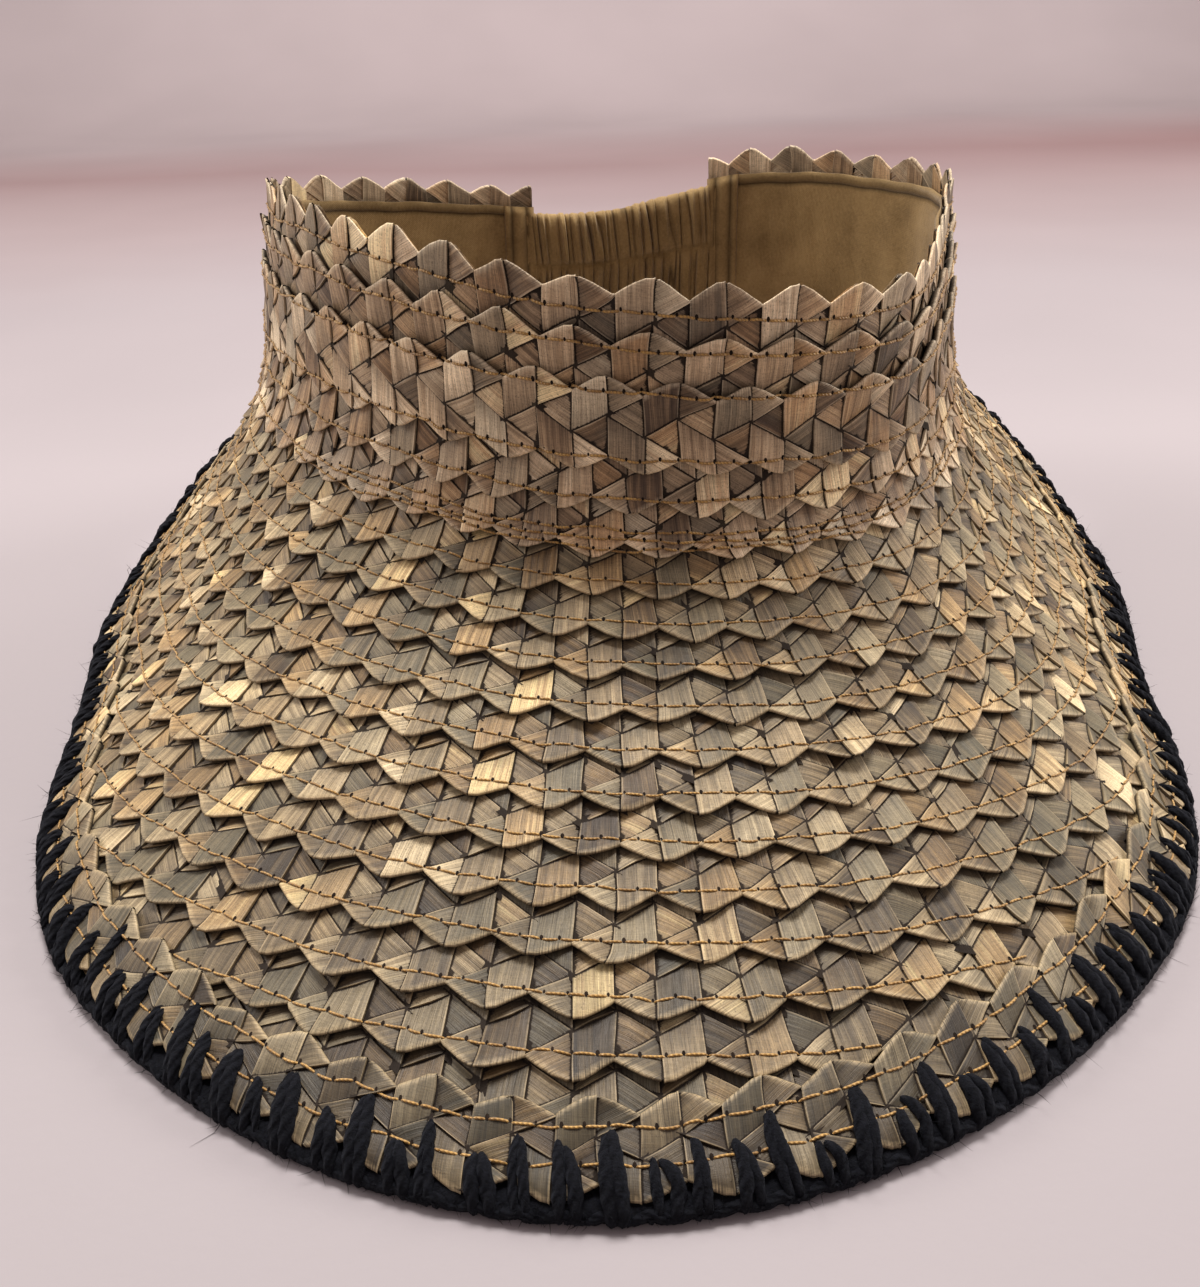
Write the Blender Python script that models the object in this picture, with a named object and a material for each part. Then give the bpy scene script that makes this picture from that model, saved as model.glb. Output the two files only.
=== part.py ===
# Straw visor: plaited palm-leaf crown band and wide flared brim, a yarn-bound
# edge, a cotton lining and a gathered elastic casing that closes the back.
# Metres, +Z up. The front of the brim faces -Y and the edge rests on Z = 0.

import math

import bmesh
import bpy
import numpy as np

# Main sizes
HEAD_RADIUS = 0.100          # mean inside radius of the crown
CROWN_TOP = 0.107            # height of the rim's tooth tips
BASE_HEIGHT = 0.056          # height of the line where crown and brim meet
CROWN_WALL = 0.052           # nominal wall length from rim to base line
BRIM_REACH = 0.215           # crown centre to the front of the yarn edge

# Plait
STRIP_WIDTH = 0.007          # one palm-leaf strip
BRAID_THICKNESS = 0.0011     # a braid is three strips thick
COURSE_SPACING = 0.00935     # from one course of the brim to the next
COURSE_LOW = 0.0013          # straw depth at the foot of a free edge
COURSE_HIGH = 0.0026         # straw depth at a free edge
BORDER_WIDTH = 0.017         # braid that lies over the brim's edge
LAP_LENGTH = 0.0055          # brim tucked up inside the crown's last course
LAP_THICKNESS = 0.0009
CROWN_EDGE_DROP = 0.0022     # crown's last tooth tips below the base line

# Trim
YARN_RADIUS = 0.0028
CLOTH_THICKNESS = 0.0010
LINING_TOP = 0.0068          # below the rim's tooth tips
CASING_THICKNESS = 0.0015
CASING_TOP = 0.0085          # below the rim line
CASING_HEIGHT = 0.038
CASING_LAP = 0.008           # casing sewn over the lining at each end
CASING_TACK = 0.3            # share of the lap at each end that isn't gathered
GATHER_DEPTH = 0.0011
GATHER_COUNT = 15
GAP = 0.0003

# Casing from its top to its bottom: share of its height, share of the gathers' depth
CASING_LEVELS = ((0.0, 0.2), (0.1, 0.8), (0.42, 0.35), (0.9, 1.0), (1.0, 0.3))

# Back opening, in degrees from the front, right side positive
RIGHT_END = 158.0
LEFT_END = -167.0

# Outline around the crown centre. Rim and base reaches are shares of
# HEAD_RADIUS, rim heights of CROWN_TOP, base and edge heights of BASE_HEIGHT,
# edge reaches of BRIM_REACH.
COLUMNS = ("angle", "rim_reach", "rim_height", "base_reach", "base_height",
           "edge_reach", "edge_height")
OUTLINE = (
    (-180, 0.90, 0.93, 0.98, 0.93, 0.520, 0.68),
    (-150, 0.90, 0.972, 1.00, 0.96, 0.545, 0.66),
    (-120, 0.99, 1.03, 1.08, 1.00, 0.610, 0.53),
    (-90, 0.81, 1.07, 0.92, 1.05, 0.643, 0.05),
    (-60, 0.79, 1.095, 0.885, 1.075, 0.702, 0.0),
    (-30, 0.87, 1.075, 0.95, 1.04, 0.908, 0.0),
    (0, 0.97, 1.005, 1.04, 0.965, 1.000, 0.0),
    (30, 1.02, 0.963, 1.06, 0.92, 0.890, 0.0),
    (60, 0.87, 0.98, 0.96, 0.925, 0.703, 0.0),
    (90, 0.885, 1.00, 0.96, 0.955, 0.656, 0.05),
    (120, 1.12, 1.01, 1.16, 0.96, 0.632, 0.58),
    (150, 1.05, 1.02, 1.08, 0.95, 0.565, 0.66),
)
STATION_STEP = 360.0 / len(OUTLINE)

# Courses of the crown, top to bottom, as shares of CROWN_WALL from the rim
SECOND_COURSE_TIPS = 0.165
MIDDLE_BRAID_TOP = 0.335
MIDDLE_BRAID_BOTTOM = 0.70
FOURTH_COURSE_TIPS = 0.86

END_FLATTENING = 0.75        # the brim's slope at its edge, against its mean
WALL_START_PULL = 1.0 / 3.0  # curve handles, as shares of the wall's or brim's length
WALL_END_PULL = 0.25
BRIM_START_PULL = 0.3
BRIM_END_PULL = 0.35
FLARE_LIMIT = 0.35           # longest handle of the brim's start, in walls
NORMAL_REACH = 0.0015        # how far apart the straw's direction is measured
EDGE_MARGIN = 0.002
YARN_SIDES = 8
YARN_CORNER = YARN_RADIUS / math.cos(math.pi / YARN_SIDES)
TOOTH_PITCH = 2.0 * STRIP_WIDTH
TOOTH_DEPTH = STRIP_WIDTH * math.tan(math.radians(30.0))
LAP_LEVELS = (1.0, 0.6, 0.2) # sections of the brim's lap, as shares of its length
CURVE_STEPS = 32
RIM_SAMPLES = 651
FRONT_ARC = 62.0             # degrees each side where the brim takes more sections


def outline(angle, name):
    """Value of one outline column at an angle, smooth all the way round."""
    values = [row[COLUMNS.index(name)] for row in OUTLINE]
    place = (angle - OUTLINE[0][0]) / STATION_STEP
    first = math.floor(place)
    part = place - first
    before, start, end, after = (values[(first + k) % len(values)] for k in (-1, 0, 1, 2))
    bend = 3.0 * (start - end) + after - before
    slope = 2.0 * before - 5.0 * start + 4.0 * end - after
    return start + 0.5 * part * (end - before + part * (slope + part * bend))


def bezier(start, start_handle, end_handle, end):
    """Points along one cubic curve."""
    t = np.linspace(0.0, 1.0, CURVE_STEPS)[:, None]
    s = 1.0 - t
    return (s ** 3 * start + 3 * s * s * t * start_handle
            + 3 * s * t * t * end_handle + t ** 3 * end)


def unit(vector):
    return vector / np.linalg.norm(vector)


def with_distance(points):
    """A curve's points and the distance along it at each."""
    steps = np.linalg.norm(np.diff(points, axis=0), axis=1)
    return points, np.concatenate([[0.0], np.cumsum(steps)])


PROFILES = {}


def profile(angle):
    """Wall and brim curves at one angle, in reach and height."""
    key = round(angle, 6)
    if key in PROFILES:
        return PROFILES[key]
    rim = np.array([HEAD_RADIUS * outline(angle, "rim_reach"),
                    CROWN_TOP * outline(angle, "rim_height")])
    base = np.array([HEAD_RADIUS * outline(angle, "base_reach"),
                     BASE_HEIGHT * outline(angle, "base_height")])
    centre = roll_centre(angle)
    wall_way = unit(base - rim)
    brim_way = unit(centre - base)
    flare = unit(wall_way + brim_way)
    end_way = unit(brim_way * np.array([1.0, END_FLATTENING]))
    edge = centre - 0.5 * COURSE_HIGH * np.array([-end_way[1], end_way[0]])
    wall_length = np.linalg.norm(base - rim)
    brim_length = np.linalg.norm(edge - base)
    wall = bezier(rim, rim + wall_way * wall_length * WALL_START_PULL,
                  base - flare * wall_length * WALL_END_PULL, base)
    flare_length = min(brim_length * BRIM_START_PULL, CROWN_WALL * FLARE_LIMIT)
    brim = bezier(base, base + flare * flare_length,
                  edge - end_way * brim_length * BRIM_END_PULL, edge)
    PROFILES[key] = with_distance(wall) + with_distance(brim)
    return PROFILES[key]


def roll_centre(angle):
    """Centre of the yarn edge at one angle, in reach and height."""
    lift = BASE_HEIGHT * max(0.0, outline(angle, "edge_height"))
    return np.array([BRIM_REACH * outline(angle, "edge_reach") - YARN_RADIUS,
                     lift + YARN_RADIUS])


def brim_length_at(angle):
    return profile(angle)[3][-1]


def around(angle, reach, height):
    """Point in space from an angle, a reach and a height."""
    turn = math.radians(angle)
    return np.array([reach * math.sin(turn), -reach * math.cos(turn), height])


def skin_point(angle, down):
    """Inner straw face. DOWN is 0 at the base line, -CROWN_WALL at the rim."""
    wall, wall_way, brim, brim_way = profile(angle)
    if down <= 0.0:
        points, way = wall, wall_way
        place = (1.0 + down / CROWN_WALL) * wall_way[-1]
    else:
        points, way = brim, brim_way
        place = down
    reach = np.interp(place, way, points[:, 0])
    height = np.interp(place, way, points[:, 1])
    return around(angle, reach, height)


def skin_normal(angle, down):
    """Outward direction of the straw at one place."""
    down = min(max(down, EDGE_MARGIN - CROWN_WALL), brim_length_at(angle) - EDGE_MARGIN)
    along = skin_point(angle, down + NORMAL_REACH) - skin_point(angle, down - NORMAL_REACH)
    across = skin_point(angle + 0.5, down) - skin_point(angle - 0.5, down)
    return unit(np.cross(along, across))


def layer_point(angle, down, out):
    """A point OUT above the inner straw face."""
    return skin_point(angle, down) + skin_normal(angle, down) * out


def from_rim(share):
    """DOWN coordinate of a share of the wall counted from the rim."""
    return (share - 1.0) * CROWN_WALL


def tooth_angles():
    """Angles at each tooth tip and valley of the rim, equal steps along it."""
    fine = np.linspace(LEFT_END, RIGHT_END, RIM_SAMPLES)
    rim = np.array([skin_point(angle, -CROWN_WALL) for angle in fine])
    way = with_distance(rim)[1]
    teeth = round(way[-1] / TOOTH_PITCH)
    return np.interp(np.linspace(0.0, way[-1], 2 * teeth + 1), way, fine)


def wide_angles(teeth):
    """Every second tooth angle, and all of them across the front of the brim."""
    return [angle for index, angle in enumerate(teeth)
            if index % 2 == 0 or abs(angle) < FRONT_ARC]


def material(name, colour, roughness):
    finish = bpy.data.materials.new(name)
    finish.use_nodes = True
    shader = finish.node_tree.nodes["Principled BSDF"]
    shader.inputs["Base Color"].default_value = (*colour, 1.0)
    shader.inputs["Roughness"].default_value = roughness
    shader.inputs["Metallic"].default_value = 0.0
    finish.diffuse_color = (*colour, 1.0)
    return finish


def swept_solid(name, columns, finish, root):
    """Closed solid from one closed section per column, capped at both ends."""
    count = len(columns[0])
    mesh = bmesh.new()
    rings = [[mesh.verts.new(point) for point in column] for column in columns]
    for ring, following in zip(rings, rings[1:]):
        for k in range(count):
            m = (k + 1) % count
            mesh.faces.new((ring[k], ring[m], following[m], following[k]))
    caps = [mesh.faces.new(rings[0]), mesh.faces.new(rings[-1])]
    bmesh.ops.triangulate(mesh, faces=caps)
    bmesh.ops.recalc_face_normals(mesh, faces=mesh.faces)
    data = bpy.data.meshes.new(name)
    mesh.to_mesh(data)
    mesh.free()
    data.materials.append(finish)
    item = bpy.data.objects.new(name, data)
    bpy.context.collection.objects.link(item)
    item.parent = root
    return item


def skin_columns(angles, section):
    """Columns of points from a section of (down, out) pairs at each angle."""
    columns = []
    for angle in angles:
        columns.append([layer_point(angle, down, out) for down, out in section(angle)])
    return columns


def toothed_columns(teeth, section):
    """As skin_columns, for a section that differs between tips and valleys."""
    columns = []
    for index, angle in enumerate(teeth):
        pairs = section(index % 2)
        columns.append([layer_point(angle, down, out) for down, out in pairs])
    return columns


def crown_section(tip):
    """Courses 1, 2, 4 and 5 of the crown, outside downward then inside upward."""
    top = from_rim(0.0) + tip * TOOTH_DEPTH
    second = from_rim(SECOND_COURSE_TIPS) + (1 - tip) * TOOTH_DEPTH
    upper = from_rim(MIDDLE_BRAID_TOP) - GAP
    lower = from_rim(MIDDLE_BRAID_BOTTOM) + GAP
    fourth = from_rim(FOURTH_COURSE_TIPS) - tip * TOOTH_DEPTH
    bottom = CROWN_EDGE_DROP - (1 - tip) * TOOTH_DEPTH
    lap_out = LAP_THICKNESS + GAP
    lap_top = -LAP_LENGTH - GAP
    return (
        (top, COURSE_LOW),
        (second, COURSE_LOW),
        (second, COURSE_HIGH),
        (upper, COURSE_LOW),
        (lower, COURSE_LOW),
        (fourth, COURSE_HIGH),
        (fourth, lap_out + LAP_THICKNESS),
        (bottom, lap_out + 2.0 * LAP_THICKNESS),
        (bottom, lap_out),
        (lap_top, lap_out),
        (lap_top - 2.0 * GAP, 0.0),
        (lower, 0.0),
        (upper, 0.0),
        (top, 0.0),
    )


def middle_braid_section(tip):
    """Whole braid that lies over the courses above and below it."""
    top = from_rim(MIDDLE_BRAID_TOP) + tip * TOOTH_DEPTH
    bottom = from_rim(MIDDLE_BRAID_BOTTOM) - (1 - tip) * TOOTH_DEPTH
    under = COURSE_LOW + GAP
    over = under + BRAID_THICKNESS
    return ((top, under), (top, over), (bottom, over), (bottom, under))


def lining_section(angle):
    """Cotton facing inside the straw, from below the rim to the brim's lap."""
    top = -CROWN_WALL + LINING_TOP
    upper = from_rim(MIDDLE_BRAID_TOP)
    lower = from_rim(MIDDLE_BRAID_BOTTOM)
    flare_start = from_rim(FOURTH_COURSE_TIPS) - TOOTH_DEPTH
    levels = (top, upper, lower, flare_start, -LAP_LENGTH - 2.0 * GAP)
    near = [(down, -GAP) for down in levels]
    far = [(down, -GAP - CLOTH_THICKNESS) for down in reversed(levels)]
    return near + far


def border_start(angle):
    """Inner edge of the border braid."""
    return max(brim_length_at(angle) - BORDER_WIDTH, CROWN_EDGE_DROP + 2.0 * GAP)


def straw_end(angle):
    """Where brim and border stop, just inside the yarn."""
    return brim_length_at(angle) - YARN_CORNER - GAP


def brim_courses():
    """Number of brim courses that fit before the border at the front."""
    return int((brim_length_at(0.0) - BORDER_WIDTH) / COURSE_SPACING + 0.5)


def course_edges(angle):
    """Free edge and depth of each brim course; courses end under the border."""
    count = brim_courses()
    clip = border_start(angle) - GAP
    edges = []
    previous = CROWN_EDGE_DROP + GAP
    for k in range(1, count + 1):
        free = CROWN_EDGE_DROP + k * COURSE_SPACING
        squeezed = clip - (count - k) * GAP
        lowest = previous + 0.25 * GAP
        edge = max(min(free, squeezed), lowest)
        share = min(1.0, (edge - previous) / COURSE_SPACING)
        edges.append((edge, COURSE_LOW + share * (COURSE_HIGH - COURSE_LOW)))
        previous = edge
    return edges


def brim_section(angle):
    """Shingled courses outside, smooth straw inside."""
    edges = course_edges(angle)
    end = straw_end(angle)
    middle = 0.5 * (max(border_start(angle), edges[-1][0]) + end)
    lap = [-share * LAP_LENGTH for share in LAP_LEVELS] + [CROWN_EDGE_DROP]
    outside = [(down, LAP_THICKNESS) for down in lap]
    for edge, depth in edges:
        outside += [(edge, depth), (edge, COURSE_LOW)]
    outside += [(middle, COURSE_LOW), (end, COURSE_LOW)]
    inside = [(end, 0.0), (middle, 0.0)]
    inside += [(edge, 0.0) for edge, depth in reversed(edges)]
    inside += [(down, 0.0) for down in reversed(lap)]
    return outside + inside


def border_section(angle):
    """Full-width braid sewn over the ends of the brim's courses."""
    start = border_start(angle)
    end = straw_end(angle)
    last = course_edges(angle)[-1][0]
    middle = 0.5 * (max(start, last) + end)
    levels = (start, middle, end)
    under = COURSE_LOW + GAP
    low = [(down, under) for down in levels]
    high = [(down, under + BRAID_THICKNESS) for down in reversed(levels)]
    return low + high


def yarn_columns(angles):
    """Round roll of wool, its lowest side flat on the table."""
    columns = []
    for angle in angles:
        reach, height = roll_centre(angle)
        column = []
        for k in range(YARN_SIDES):
            turn = 2.0 * math.pi * (k + 0.5) / YARN_SIDES
            column.append(around(angle, reach + YARN_CORNER * math.cos(turn),
                                 height + YARN_CORNER * math.sin(turn)))
        columns.append(column)
    return columns


def casing_columns():
    """Gathered casing from one end of the band round the back to the other."""
    back_reach = HEAD_RADIUS * outline(180.0, "rim_reach")
    lap = math.degrees(CASING_LAP / back_reach)
    start = RIGHT_END - lap
    end = LEFT_END + 360.0 + lap
    seat = -2.0 * GAP - CLOTH_THICKNESS - GATHER_DEPTH - CASING_THICKNESS
    free_start = RIGHT_END + CASING_TACK * lap
    free_end = LEFT_END + 360.0 - CASING_TACK * lap
    columns = []
    for angle in np.linspace(start, end, 4 * GATHER_COUNT + 1):
        from_start = max(0.0, (angle - free_start) / lap)
        from_end = max(0.0, (free_end - angle) / lap)
        inside = min(1.0, from_start, from_end)
        wave = math.sin(2.0 * math.pi * GATHER_COUNT * (angle - start) / (end - start))
        lift = inside * (GATHER_DEPTH + CLOTH_THICKNESS)
        near = []
        far = []
        for share, looseness in CASING_LEVELS:
            down = from_rim(0.0) + CASING_TOP + CASING_HEIGHT * share
            out = seat + lift + GATHER_DEPTH * looseness * inside * wave
            near.append(layer_point(angle, down, out + CASING_THICKNESS))
            far.append(layer_point(angle, down, out))
        columns.append(near + far[::-1])
    return columns


def centre_on_table(root, items):
    """Puts the middle of the whole box over the origin."""
    corners = np.concatenate([[vertex.co[:] for vertex in item.data.vertices] for item in items])
    low = corners.min(axis=0)
    high = corners.max(axis=0)
    root.location = (-0.5 * (low[0] + high[0]), -0.5 * (low[1] + high[1]), -low[2])


def build():
    for old in list(bpy.data.objects):
        bpy.data.objects.remove(old)
    root = bpy.data.objects.new("visor", None)
    bpy.context.collection.objects.link(root)
    crown_straw = material("crown_straw", (0.26, 0.20, 0.13), 0.62)
    brim_straw = material("brim_straw", (0.31, 0.25, 0.16), 0.60)
    cotton = material("khaki_cotton", (0.17, 0.12, 0.04), 0.92)
    wool = material("black_wool", (0.008, 0.010, 0.014), 0.95)
    teeth = tooth_angles()
    wide = wide_angles(teeth)
    items = [
        swept_solid("crown_band", toothed_columns(teeth, crown_section), crown_straw, root),
        swept_solid("crown_middle_braid", toothed_columns(teeth, middle_braid_section),
                    crown_straw, root),
        swept_solid("crown_lining", skin_columns(teeth[::2], lining_section), cotton, root),
        swept_solid("brim", skin_columns(wide, brim_section), brim_straw, root),
        swept_solid("border_braid", skin_columns(wide, border_section), brim_straw, root),
        swept_solid("edge_yarn", yarn_columns(wide), wool, root),
        swept_solid("elastic_casing", casing_columns(), cotton, root),
    ]
    centre_on_table(root, items)
    bpy.context.view_layer.update()


build()
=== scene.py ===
# Straw visor in full: plaited leaf, sewing thread, a blanket-stitched wool edge,
# a cotton lining and a gathered elastic casing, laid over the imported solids.
# Metres, +Z up. The front of the brim faces -Y.

import math

import bpy
import numpy as np
from mathutils import Matrix, Vector
from mathutils.bvhtree import BVHTree


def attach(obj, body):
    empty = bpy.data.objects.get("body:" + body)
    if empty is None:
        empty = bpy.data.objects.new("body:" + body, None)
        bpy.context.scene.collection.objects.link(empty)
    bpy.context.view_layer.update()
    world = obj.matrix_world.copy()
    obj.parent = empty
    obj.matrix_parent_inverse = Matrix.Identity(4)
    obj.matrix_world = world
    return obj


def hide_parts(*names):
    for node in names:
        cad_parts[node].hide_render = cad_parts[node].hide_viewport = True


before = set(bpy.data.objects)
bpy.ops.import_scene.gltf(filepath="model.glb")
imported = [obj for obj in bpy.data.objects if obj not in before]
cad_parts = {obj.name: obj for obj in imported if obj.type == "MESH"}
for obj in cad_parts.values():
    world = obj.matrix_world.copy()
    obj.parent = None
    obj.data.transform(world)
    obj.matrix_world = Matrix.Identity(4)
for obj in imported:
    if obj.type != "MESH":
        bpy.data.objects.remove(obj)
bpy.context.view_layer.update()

MM = 0.001

# Main sizes, as in the solid model. The border's width and the edge's reach follow
# the photo more closely than the solids do.
HEAD_RADIUS = 0.100
CROWN_TOP = 0.107
BASE_HEIGHT = 0.056
CROWN_WALL = 0.052
BRIM_REACH = 0.215
STRIP_WIDTH = 0.007
COURSE_SPACING = 0.00935
COURSE_HIGH = 0.0026
BORDER_WIDTH = 0.0158
BORDER_OVERHANG = 0.0016
CROWN_EDGE_DROP = 0.0022
YARN_RADIUS = 0.0028
LINING_TOP = 0.0068
LINING_FOOT = -0.0061
CASING_TOP = 0.0085
CASING_HEIGHT = 0.038
RIGHT_END = 158.0
LEFT_END = -167.0
CROWN_CENTRE = np.array([-0.001232, 0.052558, 0.0])

# Outline around the crown centre, as shares of the main sizes
COLUMNS = ("angle", "rim_reach", "rim_height", "base_reach", "base_height",
           "edge_reach", "edge_height")
OUTLINE = np.array((
    (-180, 0.90, 0.93, 0.98, 0.93, 0.520, 0.68),
    (-150, 0.90, 0.972, 1.00, 0.96, 0.545, 0.66),
    (-120, 0.99, 1.03, 1.08, 1.00, 0.610, 0.53),
    (-90, 0.81, 1.07, 0.92, 1.05, 0.660, 0.05),
    (-60, 0.79, 1.095, 0.885, 1.075, 0.699, 0.0),
    (-30, 0.87, 1.075, 0.95, 1.04, 0.897, 0.0),
    (0, 0.97, 1.005, 1.04, 0.965, 1.000, 0.0),
    (30, 1.02, 0.963, 1.06, 0.92, 0.886, 0.0),
    (60, 0.87, 0.98, 0.96, 0.925, 0.692, 0.0),
    (90, 0.885, 1.00, 0.96, 0.955, 0.672, 0.05),
    (120, 1.12, 1.01, 1.16, 0.96, 0.632, 0.58),
    (150, 1.05, 1.02, 1.08, 0.95, 0.565, 0.66),
))
STATION_STEP = 30.0
END_FLATTENING = 0.75
WALL_START_PULL = 1.0 / 3.0
WALL_END_PULL = 0.25
BRIM_START_PULL = 0.3
BRIM_END_PULL = 0.35
FLARE_LIMIT = 0.35
CURVE_STEPS = 40

# Grid that holds the straw's inner face
ANGLE_STEP = 0.5
DOWN_STEP = 0.001
GRID_ANGLES = np.arange(-200.0, 200.0 + ANGLE_STEP, ANGLE_STEP)
GRID_DOWNS = np.arange(-0.060, 0.141, DOWN_STEP)
GRID_OVERRUN = 0.06


def outline(angle, name):
    """Value of one outline column at any angles, smooth all the way round."""
    values = OUTLINE[:, COLUMNS.index(name)]
    place = (np.asarray(angle, float) - OUTLINE[0, 0]) / STATION_STEP
    first = np.floor(place).astype(int)
    part = place - first
    before, start, end, after = (values[(first + k) % len(values)] for k in (-1, 0, 1, 2))
    bend = 3.0 * (start - end) + after - before
    slope = 2.0 * before - 5.0 * start + 4.0 * end - after
    return start + 0.5 * part * (end - before + part * (slope + part * bend))


def unit(vectors):
    return vectors / np.maximum(np.linalg.norm(vectors, axis=-1, keepdims=True), 1e-12)


def bezier(start, start_handle, end_handle, end):
    t = np.linspace(0.0, 1.0, CURVE_STEPS)[:, None]
    s = 1.0 - t
    return (s ** 3 * start + 3 * s * s * t * start_handle
            + 3 * s * t * t * end_handle + t ** 3 * end)


def way_along(points):
    """Distances along lines of points (..., steps, 2 or 3)."""
    steps = np.linalg.norm(np.diff(points, axis=-2), axis=-1)
    return np.concatenate([np.zeros(steps.shape[:-1] + (1,)), np.cumsum(steps, axis=-1)], axis=-1)


def roll_centre(angle):
    """Reach and height of the yarn edge's centre, at any angles."""
    lift = BASE_HEIGHT * np.maximum(0.0, outline(angle, "edge_height"))
    reach = BRIM_REACH * outline(angle, "edge_reach") - YARN_RADIUS
    return np.stack([reach, lift + YARN_RADIUS], axis=-1)


def profile(angle):
    """Inner straw face at one angle: distances down from the base line, points,
    and the brim's length."""
    rim = np.array([HEAD_RADIUS * outline(angle, "rim_reach"),
                    CROWN_TOP * outline(angle, "rim_height")])
    base = np.array([HEAD_RADIUS * outline(angle, "base_reach"),
                     BASE_HEIGHT * outline(angle, "base_height")])
    centre = roll_centre(angle)
    wall_way = unit(base - rim)
    brim_way = unit(centre - base)
    flare = unit(wall_way + brim_way)
    end_way = unit(brim_way * np.array([1.0, END_FLATTENING]))
    edge = centre - 0.5 * COURSE_HIGH * np.array([-end_way[1], end_way[0]])
    wall_length = np.linalg.norm(base - rim)
    brim_length = np.linalg.norm(edge - base)
    wall = bezier(rim, rim + wall_way * wall_length * WALL_START_PULL,
                  base - flare * wall_length * WALL_END_PULL, base)
    flare_length = min(brim_length * BRIM_START_PULL, CROWN_WALL * FLARE_LIMIT)
    brim = bezier(base, base + flare * flare_length,
                  edge - end_way * brim_length * BRIM_END_PULL, edge)
    wall_down = (way_along(wall) / way_along(wall)[-1] - 1.0) * CROWN_WALL
    brim_down = way_along(brim)
    length = brim_down[-1]
    points = np.concatenate([[rim - wall_way * GRID_OVERRUN], wall, brim[1:],
                             [edge + end_way * GRID_OVERRUN]])
    downs = np.concatenate([[-CROWN_WALL - GRID_OVERRUN], wall_down, brim_down[1:],
                            [length + GRID_OVERRUN]])
    return downs, points, length


def skin_grids():
    """Points and outward directions of the inner straw face, and brim lengths."""
    points = []
    lengths = []
    for angle in GRID_ANGLES:
        downs, curve, length = profile(angle)
        reach = np.interp(GRID_DOWNS, downs, curve[:, 0])
        height = np.interp(GRID_DOWNS, downs, curve[:, 1])
        turn = math.radians(angle)
        points.append(np.stack([reach * math.sin(turn), -reach * math.cos(turn), height], axis=1))
        lengths.append(length)
    points = np.array(points)
    normals = unit(np.cross(np.gradient(points, axis=1), np.gradient(points, axis=0)))
    return points + CROWN_CENTRE, normals, np.array(lengths)


SKIN, NORMALS, LENGTHS = skin_grids()


def look_up(grid, angle, down):
    """Value of a grid between its samples."""
    a = np.clip((angle - GRID_ANGLES[0]) / ANGLE_STEP, 0.0, len(GRID_ANGLES) - 1.001)
    d = np.clip((down - GRID_DOWNS[0]) / DOWN_STEP, 0.0, len(GRID_DOWNS) - 1.001)
    i = a.astype(int)
    j = d.astype(int)
    fa = (a - i)[..., None]
    fd = (d - j)[..., None]
    near = grid[i, j] * (1 - fd) + grid[i, j + 1] * fd
    far = grid[i + 1, j] * (1 - fd) + grid[i + 1, j + 1] * fd
    return near * (1 - fa) + far * fa


def on_skin(angle, down, out):
    """Points OUT above the inner straw face."""
    angle, down, out = np.broadcast_arrays(angle, down, out)
    return look_up(SKIN, angle, down) + look_up(NORMALS, angle, down) * out[..., None]


def brim_length(angle):
    return np.interp(angle, GRID_ANGLES, LENGTHS)


def stacked(*values):
    """Values side by side in one last axis."""
    return np.stack(np.broadcast_arrays(*values), axis=-1)


def smooth(low, high, value):
    t = np.clip((value - low) / (high - low), 0.0, 1.0)
    return t * t * (3.0 - 2.0 * t)


# Meshes from arrays


def grid_faces(rows, columns, closed=False, turned=False):
    """Quads over a grid of points. CLOSED joins each row's end to its start, and
    TURNED gives them the other side up."""
    faces = []
    for i in range(rows - 1):
        for j in range(columns if closed else columns - 1):
            a = i * columns + j
            b = i * columns + (j + 1) % columns
            c, d = b + columns, a + columns
            faces.append((a, b, c, d) if turned else (a, d, c, b))
    return faces


def turn_steps(count):
    return 2.0 * math.pi * np.arange(count) / count


def link(name, data):
    item = bpy.data.objects.new(name, data)
    bpy.context.scene.collection.objects.link(item)
    return item


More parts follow.
